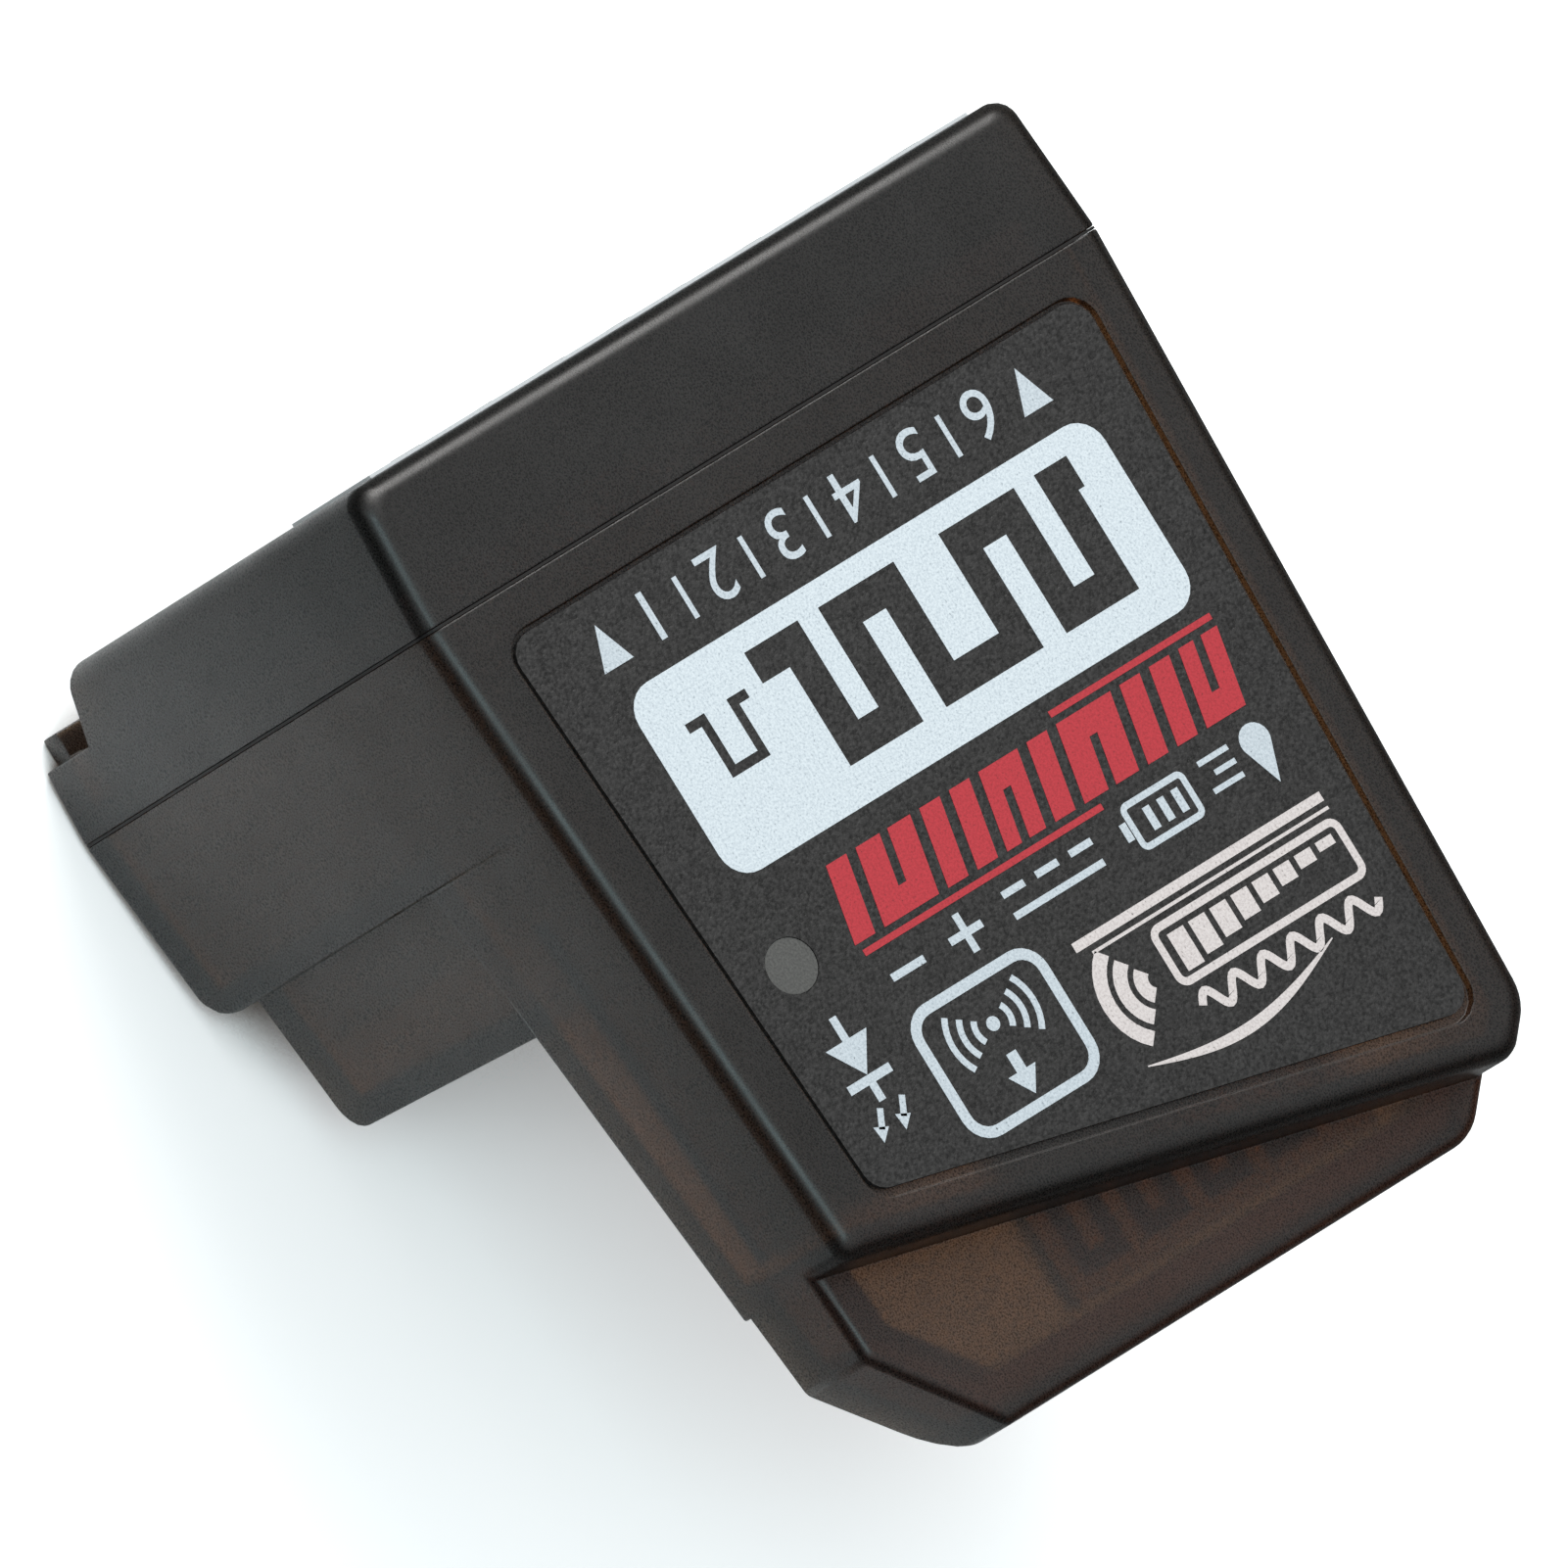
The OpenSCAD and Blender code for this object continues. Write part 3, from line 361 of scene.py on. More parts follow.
@dataclass
class Shell:
    """The moulded housing and lid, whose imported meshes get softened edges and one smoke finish."""

    finish: SmokePolycarbonate = field(default_factory=SmokePolycarbonate)
    edge: float = 0.07
    edge_segments: int = 2
    sharp_angle: float = 32.0
    smooth_angle: float = 40.0
    step_x: float = 4.025
    step_edge: float = 0.15
    # Width, and depths below the surface, of the painted seam shade strip.
    seam_shade_width: float = 0.08
    seam_shade_top_sunk: float = 0.02
    seam_shade_foot_sunk: float = 0.28
    face_radius: float = 0.65
    back_radius: float = 0.4

    def step_weights(self) -> bpy.types.NodeTree:
        """Builds the modifier that marks the upright edges where the deep section ends.

        Returns:
            A geometry node group that gives sharp edges at the step's X a full bevel weight.
        """
        group = bpy.data.node_groups.new("step_edge_weight", "GeometryNodeTree")
        group.interface.new_socket("Geometry", in_out="INPUT", socket_type="NodeSocketGeometry")
        group.interface.new_socket("Geometry", in_out="OUTPUT", socket_type="NodeSocketGeometry")
        source = add_node(group, "NodeGroupInput")
        spot = add_node(group, "ShaderNodeSeparateXYZ", {"Vector": add_node(group, "GeometryNodeInputPosition").outputs[0]})
        angle = add_node(group, "GeometryNodeInputMeshEdgeAngle")
        turn = add_node(group, "ShaderNodeMath", {0: angle.outputs["Unsigned Angle"]}, operation="GREATER_THAN",
                        in_1=math.radians(60))
        at_step = add_node(group, "ShaderNodeMath", {0: spot.outputs["X"]}, operation="COMPARE",
                           in_1=self.step_x * MM, in_2=0.1 * MM)
        across = add_node(group, "ShaderNodeMath", {0: spot.outputs["Y"]}, operation="ABSOLUTE")
        at_side = add_node(group, "ShaderNodeMath", {0: across.outputs[0]}, operation="GREATER_THAN", in_1=12.4 * MM)
        here = add_node(group, "ShaderNodeMath", {0: turn.outputs[0], 1: at_step.outputs[0]}, operation="MULTIPLY")
        chosen = add_node(group, "ShaderNodeMath", {0: here.outputs[0], 1: at_side.outputs[0]}, operation="MULTIPLY")
        stored = add_node(group, "GeometryNodeStoreNamedAttribute",
                          {"Geometry": source.outputs[0], "Value": chosen.outputs[0]},
                          data_type="FLOAT", domain="EDGE", in_Name="bevel_weight_edge")
        add_node(group, "NodeGroupOutput", {0: stored.outputs[0]})
        return group

    def weld(self) -> None:
        """Fills the seam line with a nearly black strip, just below the walls' surface: painted shade that stands for
        the shadow in the hairline gap.

        The strip is a box section swept round the seam's rounded outline.
        """
        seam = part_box("housing")[0].x / MM - 0.05
        low, high = (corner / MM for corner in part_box("housing"))
        loops = []
        for sunk in (self.seam_shade_top_sunk, self.seam_shade_foot_sunk):
            top, foot, side = high.z - sunk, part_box("lid")[0].z / MM + sunk, high.y - sunk
            rise, fall = self.face_radius - sunk, self.back_radius - sunk
            loops.append(np.vstack((arc((side - fall, foot + fall), fall, -90, 0, 6),
                                    arc((side - rise, top - rise), rise, 0, 90, 6),
                                    arc((rise - side, top - rise), rise, 90, 180, 6),
                                    arc((fall - side, foot + fall), fall, 180, 270, 6))))
        count = len(loops[0])
        rings = [np.column_stack((np.full(count, x), loops[which]))
                 for x, which in ((-self.seam_shade_width / 2, 0), (self.seam_shade_width / 2, 0), (self.seam_shade_width / 2, 1),
                                  (-self.seam_shade_width / 2, 1))]
        points = np.vstack(rings) + (seam, 0, 0)
        k, i = np.meshgrid(np.arange(4), np.arange(count), indexing="ij")
        n, j = (k + 1) % 4, (i + 1) % count
        quads = np.stack((k * count + i, n * count + i, n * count + j, k * count + j), -1).reshape(-1, 4)
        # The strip is painted shade in the seam, finished nearly black.
        new_piece("painted_seam_shadow", points, list(map(tuple, quads)), WELD, Matrix.Scale(MM, 4))

    def smoothing(self) -> bpy.types.NodeTree:
        """Builds the modifier that shades as smooth each edge that turns less than a set angle.

        Returns:
            A geometry node group: faces smooth, and edges above the angle sharp.
        """
        group = bpy.data.node_groups.new("smooth_by_angle", "GeometryNodeTree")
        group.interface.new_socket("Geometry", in_out="INPUT", socket_type="NodeSocketGeometry")
        group.interface.new_socket("Geometry", in_out="OUTPUT", socket_type="NodeSocketGeometry")
        source = add_node(group, "NodeGroupInput")
        faces = add_node(group, "GeometryNodeSetShadeSmooth", {"Geometry": source.outputs[0]},
                         domain="FACE", in_Shade_Smooth=True)
        angle = add_node(group, "GeometryNodeInputMeshEdgeAngle")
        turn = add_node(group, "ShaderNodeMath", {0: angle.outputs["Unsigned Angle"]}, operation="GREATER_THAN",
                        in_1=math.radians(self.smooth_angle))
        edges = add_node(group, "GeometryNodeSetShadeSmooth",
                         {"Geometry": faces.outputs[0], "Selection": turn.outputs[0]},
                         domain="EDGE", in_Shade_Smooth=False)
        add_node(group, "NodeGroupOutput", {0: edges.outputs[0]})
        return group

    def soften(self, node: bpy.types.Object, weights: bpy.types.NodeTree, smoothing: bpy.types.NodeTree) -> None:
        """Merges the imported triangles, breaks every sharp edge and shades the rounds smooth.

        Args:
            node: Packed object, whose mesh stays as it is below the modifiers.
            weights: Node group that marks the edges with the wider bevel.
            smoothing: Node group that shades by angle.
        """
        weld = node.modifiers.new("join", "WELD")
        weld.merge_threshold = 1e-7
        flat = node.modifiers.new("flat", "DECIMATE")
        flat.decimate_type = "DISSOLVE"
        flat.angle_limit = math.radians(0.3)
        node.modifiers.new("step", "NODES").node_group = weights
        broken = node.modifiers.new("broken", "BEVEL")
        broken.limit_method = "WEIGHT"
        broken.width = self.step_edge * MM
        broken.segments = 4
        broken.use_clamp_overlap = False
        broken.loop_slide = False
        bevel = node.modifiers.new("edge", "BEVEL")
        bevel.width = self.edge * MM
        bevel.segments = self.edge_segments
        bevel.angle_limit = math.radians(self.sharp_angle)
        bevel.use_clamp_overlap = False
        node.modifiers.new("smooth", "NODES").node_group = smoothing
        weighted = node.modifiers.new("flats", "WEIGHTED_NORMAL")
        weighted.weight = 80
        weighted.keep_sharp = True

    def dress(self, nodes: dict[str, bpy.types.Object]) -> None:
        """Gives both mouldings their edges and finish, and fills their seam with painted shade."""
        material, weights, smoothing = self.finish.material(), self.step_weights(), self.smoothing()
        for name in ("housing", "lid"):
            assign(nodes[name], material)
            self.soften(nodes[name], weights, smoothing)
            log.info("%s: smoke shell with softened edges", name)
        self.weld()


def arc(centre: tuple[float, float], radius: float, start: float, end: float, steps: int = 12) -> np.ndarray:
    """Places points along an arc: the centre plus the radius times cosine and sine of the angle.

    Args:
        centre: Middle of the arc.
        radius: Its radius.
        start: First angle in degrees.
        end: Last angle in degrees.
        steps: Number of stretches between the points.

    Returns:
        Points as rows.
    """
    turn = np.radians(np.linspace(start, end, steps + 1))
    return np.stack((centre[0] + radius * np.cos(turn), centre[1] + radius * np.sin(turn)), 1)


def rounded_box(low: tuple[float, float], high: tuple[float, float], radius: float) -> np.ndarray:
    """Outlines a box with four quarter arcs at its corners, anticlockwise."""
    (a0, b0), (a1, b1) = low, high
    r = radius
    return np.vstack((arc((a1 - r, b0 + r), r, -90, 0, 6), arc((a1 - r, b1 - r), r, 0, 90, 6),
                      arc((a0 + r, b1 - r), r, 90, 180, 6), arc((a0 + r, b0 + r), r, 180, 270, 6)))


def ribbon(line: np.ndarray, width: float, closed: bool = False) -> list[np.ndarray]:
    """Widens a line to a stroke whose sides meet in mitres.

    Each point moves to both sides along the sum of the two neighbouring edge normals, scaled by
    two over that sum's squared length, which keeps the stroke's width at corners.

    Args:
        line: Points as rows.
        width: Width of the stroke.
        closed: Whether the last point joins the first.

    Returns:
        One outline, or an outer and an inner one for a closed line.
    """
    points = np.asarray(line, float)
    step = np.roll(points, -1, 0) - points if closed else np.diff(points, axis=0)
    step /= np.linalg.norm(step, axis=1, keepdims=True)
    side = np.stack((-step[:, 1], step[:, 0]), 1)
    before = np.roll(side, 1, 0) if closed else np.vstack((side[:1], side))
    after = side if closed else np.vstack((side, side[-1:]))
    total = before + after
    out = total * (width / (total * total).sum(1, keepdims=True))
    if closed:
        return [points - out, points + out]
    return [np.vstack((points - out, (points + out)[::-1]))]


@dataclass
class Print:
    """Ink shapes that lie on one face and become one thin piece.

    Shapes are drawn as a reader sees them: the first number runs along the line of reading and
    the second runs up.
    """

    name: str
    ink: ScreenInk | GrainedFinish
    slot: Slot
    thickness: float = 0.016
    sunk: float = 0.004
    points: list[np.ndarray] = field(default_factory=list)
    faces: list[tuple[int, ...]] = field(default_factory=list)

    def add(self, points: np.ndarray, faces: list[tuple[int, ...]]) -> None:
        """Adds points and faces that count from their own first point."""
        base = sum(len(block) for block in self.points)
        self.points.append(points)
        self.faces += [tuple(base + i for i in face) for face in faces]

    def fill(self, *outlines: np.ndarray) -> "Print":
        """Adds a plate with an outer outline and any holes, as a top, a bottom and walls.

        Args:
            *outlines: Outer outline first, then holes, each as rows of points.

        Returns:
            This print, so that calls can follow each other.
        """
        rings = [np.asarray(outline, float) for outline in outlines]
        flat = np.vstack(rings)
        count = len(flat)
        tris = np.array(tessellate_polygon([[Vector((*p, 0.0)) for p in ring] for ring in rings]))
        p, q, r = flat[tris[:, 0]], flat[tris[:, 1]], flat[tris[:, 2]]
        turned = (q - p)[:, 0] * (r - p)[:, 1] - (q - p)[:, 1] * (r - p)[:, 0] < 0
        tris[turned] = tris[turned][:, ::-1]
        walls, start = [], 0
        for ring in rings:
            i = start + np.arange(len(ring))
            j = start + np.roll(np.arange(len(ring)), -1)
            walls.append(np.stack((i, i + count, j + count, j), 1))
            start += len(ring)
        points = np.vstack((np.c_[flat, np.full(count, self.thickness)], np.c_[flat, np.full(count, -self.sunk)]))
        self.add(points, [*map(tuple, tris), *map(tuple, tris[:, ::-1] + count), *map(tuple, np.vstack(walls))])
        return self

    def stroke(self, line: np.ndarray | list, width: float, closed: bool = False) -> "Print":
        """Adds a stroke of one width along a line."""
        return self.fill(*ribbon(line, width, closed))

    def disc(self, centre: tuple[float, float], radius: float) -> "Print":
        """Adds a round dot."""
        return self.fill(arc(centre, radius, 0, 345, 23))

    def numeral(self, digit: str, centre: tuple[float, float], height: float) -> "Print":
        """Adds a numeral in Blender's own plain typeface.

        Args:
            digit: The numeral.
            centre: Middle of its place.
            height: Height of the numeral.

        Returns:
            This print.
        """
        curve = bpy.data.curves.new("numeral", "FONT")
        curve.body, curve.size, curve.align_x, curve.align_y = digit, height * 1.37, "CENTER", "BOTTOM_BASELINE"
        curve.resolution_u = 5
        curve.extrude = (self.thickness + self.sunk) / 2
        text = bpy.data.objects.new("numeral", curve)
        bpy.context.collection.objects.link(text)
        mesh = bpy.data.meshes.new_from_object(text.evaluated_get(bpy.context.evaluated_depsgraph_get()))
        points = np.zeros(len(mesh.vertices) * 3)
        mesh.vertices.foreach_get("co", points)
        points = points.reshape(-1, 3) + (centre[0], centre[1] - height / 2, (self.thickness - self.sunk) / 2)
        self.add(points, [tuple(face.vertices) for face in mesh.polygons])
        bpy.data.objects.remove(text)
        bpy.data.curves.remove(curve)
        bpy.data.meshes.remove(mesh)
        return self

    def build(self, place: Matrix) -> bpy.types.Object:
        """Makes the piece and lays it on its face.

        Args:
            place: Matrix from the drawing, in millimetres, to the frame, in metres.

        Returns:
            The new piece.
        """
        return new_piece(self.name, np.vstack(self.points), self.faces, self.ink, place)


FINISHED: dict[str, bpy.types.Material] = {}


def finished(finish) -> bpy.types.Material:
    """Gives a finish's material, which is built once and shared by its pieces."""
    if finish.name not in FINISHED:
        FINISHED[finish.name] = finish.material()
    return FINISHED[finish.name]


def new_piece(name: str, points: np.ndarray, faces: list, finish, place: Matrix) -> bpy.types.Object:
    """Makes a mesh piece that rides on the body.

    Args:
        name: Name of the piece.
        points: Points as rows.
        faces: Point numbers of each face.
        finish: Finish that dresses it.
        place: Matrix from the points' own system to the frame in metres.

    Returns:
        The new piece.
    """
    mesh = bpy.data.meshes.new(name)
    mesh.from_pydata(points.tolist(), [], [list(map(int, face)) for face in faces])
    mesh.transform(place)
    work = bmesh.new()
    work.from_mesh(mesh)
    bmesh.ops.remove_doubles(work, verts=work.verts, dist=1e-8)
    bmesh.ops.recalc_face_normals(work, faces=work.faces)
    work.to_mesh(mesh)
    work.free()
    piece = bpy.data.objects.new(name, mesh)
    bpy.context.collection.objects.link(piece)
    assign(piece, finished(finish))
    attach(piece, BODY)
    log.info("%s: %d faces, %s", name, len(mesh.polygons), finish.name)
    return piece


@dataclass
class FaceLabel:
    """Screen prints on the big label: port numbers, pulse badge, band, signs and emblem."""

    port_pitch: float = 2.54
    port_count: int = 6
    badge: tuple[float, float, float, float] = (-9.42, 9.0, 8.58, 15.22)
    badge_r: float = 0.95

    def place(self) -> Matrix:
        """Lays drawings on the label's top: reading runs towards -Y and up is +X."""
        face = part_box("lid")[0].x
        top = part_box("face_label")[1].z
        return Matrix(((0, MM, 0, face), (-MM, 0, 0, 0), (0, 0, MM, top), (0, 0, 0, 1)))

    def port_numbers(self) -> Print:
        """Draws a number over each port, ticks between them and arrows towards the ports."""
        ink = Print("label_port_numbers", SILVER_INK, Slot.LABEL)
        half = (self.port_count - 1) / 2
        for i in range(self.port_count):
            ink.numeral(str(self.port_count - i), ((i - half) * self.port_pitch, 7.52), 1.62)
        for i in range(1, self.port_count):
            a = (i - half - 0.5) * self.port_pitch
            ink.stroke([(a, 6.85), (a, 8.2)], 0.17)
        for a in (-8.1, 8.1):
            ink.fill([(a - 0.55, 8.2), (a, 6.85), (a + 0.55, 8.2)])
        return ink

    def pulse_badge(self) -> Print:
        """Draws the silver badge with a servo pulse train left open in it."""
        ink = Print("label_pulse_badge", BADGE_INK, Slot.LABEL)
        a0, b0, a1, b1 = self.badge
        low, high = 10.25, 13.55
        train = [(-8.05, low), (-7.3, low), (-7.3, high), (-5.5, high), (-5.5, low), (-3.6, low), (-3.6, high),
                 (-0.85, high), (-0.85, low), (1.05, low), (1.05, high), (2.85, high), (2.85, low), (4.4, low)]
        short = [(5.0, 10.75), (5.55, 10.75), (5.55, 12.45), (6.7, 12.45), (6.7, 10.75), (7.3, 10.75)]
        ink.fill(rounded_box((a0, b0), (a1, b1), self.badge_r), *ribbon(train, 1.02), *ribbon(short, 0.3))
        return ink

    def band(self) -> Print:
        """Draws the red band: a slanted square wave of blocks between two thin lines."""
        ink = Print("label_band", RED_INK, Slot.LABEL)
        ink.stroke([(-9.35, 15.78), (-3.1, 15.78)], 0.2)
        ink.stroke([(-3.0, 18.78), (6.2, 18.78)], 0.2)
        widths = (1.5, 0.78, 0.78, 2.1, 0.78, 1.5, 0.78, 0.78, 2.1, 0.78)
        low, high, lean, gap = 16.1, 18.46, 0.55, 0.36
        a = -9.35
        for k, width in enumerate(widths):
            outer = [(a, low), (a + width, low), (a + width + lean, high), (a + lean, high)]
            if width > 1.2:
                notch = 0.42
                b0, b1 = (low + 0.8, high) if k % 2 else (low, high - 0.8)
                at = [a + width * notch + lean * (b - low) / (high - low) for b in (b0, b1)]
                slit = 0.3
                if k % 2:
                    outer = [outer[0], outer[1], outer[2], (at[1] + slit, b1), (at[0] + slit, b0), (at[0], b0),
                             (at[1], b1), outer[3]]
                else:
                    outer = [outer[0], (at[0], b0), (at[1], b1), (at[1] + slit, b1), (at[0] + slit, b0), outer[1],
                             outer[2], outer[3]]
            ink.fill(outer)
            a += width + gap
        return ink

    def signs(self) -> Print:
        """Draws the line of small signs: drop, battery, direct current, plus and minus."""
        ink = Print("label_signs", SILVER_INK, Slot.LABEL)
        drop = np.vstack((arc((-8.45, 19.45), 0.52, 150, 390, 14), [(-8.45, 20.85)]))
        ink.fill(drop)
        for b, reach in ((19.2, 1.15), (19.65, 0.8), (20.1, 1.15)):
            ink.stroke([(-7.55, b), (-7.55 + reach, b)], 0.17)
        ink.stroke(rounded_box((-5.75, 19.12), (-3.5, 20.45), 0.18), 0.2, closed=True)
        ink.fill([(-3.36, 19.5), (-3.12, 19.5), (-3.12, 20.07), (-3.36, 20.07)])
        for a in (-5.3, -4.75, -4.2):
            ink.stroke([(a, 19.42), (a, 20.15)], 0.26)
        ink.stroke([(-2.1, 20.15), (1.35, 20.15)], 0.22)
        for a in (-2.1, -0.8, 0.5):
            ink.stroke([(a, 19.45), (a + 0.85, 19.45)], 0.22)
        w, r = 0.12, 0.62
        ink.fill([(3.0 + x, 19.8 + y) for x, y in ((-w, -r), (w, -r), (w, -w), (r, -w), (r, w), (w, w), (w, r), (-w, r),
                                                  (-w, w), (-r, w), (-r, -w), (-w, -w))])
        ink.stroke([(4.6, 19.8), (5.85, 19.8)], 0.24)
        return ink

    def aerial_box(self) -> Print:
        """Draws the rounded frame with an arrow towards the ledge and radio waves."""
        ink = Print("label_aerial_sign", SILVER_INK, Slot.LABEL)
        ink.stroke(rounded_box((1.42, 21.05), (6.18, 25.05), 0.75), 0.34, closed=True)
        ink.fill([(3.62, 23.35), (3.98, 23.35), (3.98, 23.95), (4.32, 23.95), (3.8, 24.72), (3.28, 23.95), (3.62, 23.95)])
        ink.disc((3.8, 22.4), 0.22)
        for radius in (0.62, 1.08, 1.54):
            for middle in (0, 180):
                ink.stroke(arc((3.8, 22.4), radius, middle - 34, middle + 34, 8), 0.2)
        return ink

    def lamp_sign(self) -> Print:
        """Draws a lamp diode beside the window, in line with it, with two rays."""
        ink = Print("label_lamp_sign", SILVER_INK, Slot.LABEL)
        mid = 8.2
        ink.stroke([(mid, 19.85), (mid, 20.6)], 0.26)
        ink.fill([(mid - 0.78, 20.6), (mid + 0.78, 20.6), (mid, 21.75)])
        ink.stroke([(mid - 0.8, 21.9), (mid + 0.8, 21.9)], 0.28)
        ink.stroke([(mid, 22.04), (mid, 22.6)], 0.26)
        for a in (-0.62, 0.22):
            ink.stroke([(mid + a, 22.75), (mid + a + 0.3, 23.3)], 0.2)
            ink.fill([(mid + a + 0.06, 23.32), (mid + a + 0.52, 23.12), (mid + a + 0.46, 23.66)])
        return ink

    def emblem(self) -> Print:
        """Draws the radio emblem: double line, framed level bars, arcs, a sine and a sweep."""
        ink = Print("label_radio_emblem", WARM_INK, Slot.LABEL)
        ink.stroke([(-9.35, 21.8), (0.25, 21.8)], 0.3)
        ink.stroke([(-9.35, 22.18), (-0.2, 22.18)], 0.1)
        ink.stroke(rounded_box((-9.28, 22.55), (-2.2, 24.3), 0.28), 0.24, closed=True)
        for i in range(8):
            a, top = -8.95 + 0.82 * i, 23.15 + 0.13 * i
            ink.fill([(a, 22.85), (a + 0.62, 22.85), (a + 0.62, top), (a, top)])
        for radius in (0.5, 1.15, 1.8):
            ink.stroke(arc((-1.55, 23.75), radius, -52, 52, 10), 0.46)
        along = np.linspace(0, 1, 97)
        ink.stroke(np.stack((-9.2 + 6.8 * along, 25.1 + 0.34 * np.sin(along * 6 * 2 * math.pi)), 1), 0.26)
        sweep = np.stack((0.2 - 7.4 * along, 25.75 + 0.75 * np.sin(along * math.pi) - 0.35 * along), 1)
        width = 0.02 + 0.15 * np.sin(along * math.pi)[:, None]
        ink.fill(np.vstack((sweep - width * (0, 1), (sweep + width * (0, 1))[::-1])))
        return ink

    def window(self) -> Print:
        """Fills the lamp hole with its frosted window, a little below the label's top."""
        low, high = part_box("face_label")
        deep = (high.z - low.z) / MM
        pane = Print("label_lamp_window", WINDOW, Slot.LABEL, thickness=-0.03, sunk=deep - 0.01)
        lens_low, lens_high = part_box("status_lamp")
        mid = (lens_low + lens_high) / 2
        return pane.disc((-mid.y / MM, (mid.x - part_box("lid")[0].x) / MM), 0.84)

    def dress(self) -> None:
        """Lays every print on the label."""
        place = self.place()
        for drawing in (self.port_numbers(), self.pulse_badge(), self.band(), self.signs(), self.aerial_box(),
                        self.lamp_sign(), self.emblem(), self.window()):
            drawing.build(place)


@dataclass
class PortLabel:
    """Black print on the port label: numbers over the ports and the signs of the pin rows."""

    port_pitch: float = 2.54
    port_count: int = 6

    def place(self) -> Matrix:
        """Lays drawings on the label's outer face: reading runs towards -Y and up is +Z."""
        low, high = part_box("port_label")
        return Matrix(((0, 0, -MM, low.x), (-MM, 0, 0, 0), (0, MM, 0, low.z), (0, 0, 0, 1)))

    def dress(self) -> None:
        """Draws numbers, arrows down to the ports, a rule and the three pin signs."""
        ink = Print("port_label_signs", BLACK_INK, Slot.PORT_LABEL)
        half = (self.port_count - 1) / 2
        for i in range(self.port_count):
            a = (i - half) * self.port_pitch
            ink.numeral(str(self.port_count - i), (a, 3.6), 1.5)
            ink.fill([(a - 0.42, 1.55), (a, 0.75), (a + 0.42, 1.55)])
        ink.stroke([(-7.8, 2.2), (7.8, 2.2)], 0.16)
        for side in (-1, 1):
            a = side * 9.6
            ink.stroke([(a - 0.5, 4.3), (a + 0.5, 4.3)], 0.2)
            ink.fill([(a + x, 2.85 + y) for x, y in ((-0.1, -0.5), (0.1, -0.5), (0.1, -0.1), (0.5, -0.1), (0.5, 0.1),
                                                    (0.1, 0.1), (0.1, 0.5), (-0.1, 0.5), (-0.1, 0.1), (-0.5, 0.1),
                                                    (-0.5, -0.1), (-0.1, -0.1))])
            ink.stroke([(a - 0.7, 0.95), (a - 0.3, 0.95), (a - 0.3, 1.75), (a + 0.3, 1.75), (a + 0.3, 0.95),
                        (a + 0.7, 0.95)], 0.18)
        ink.build(self.place())


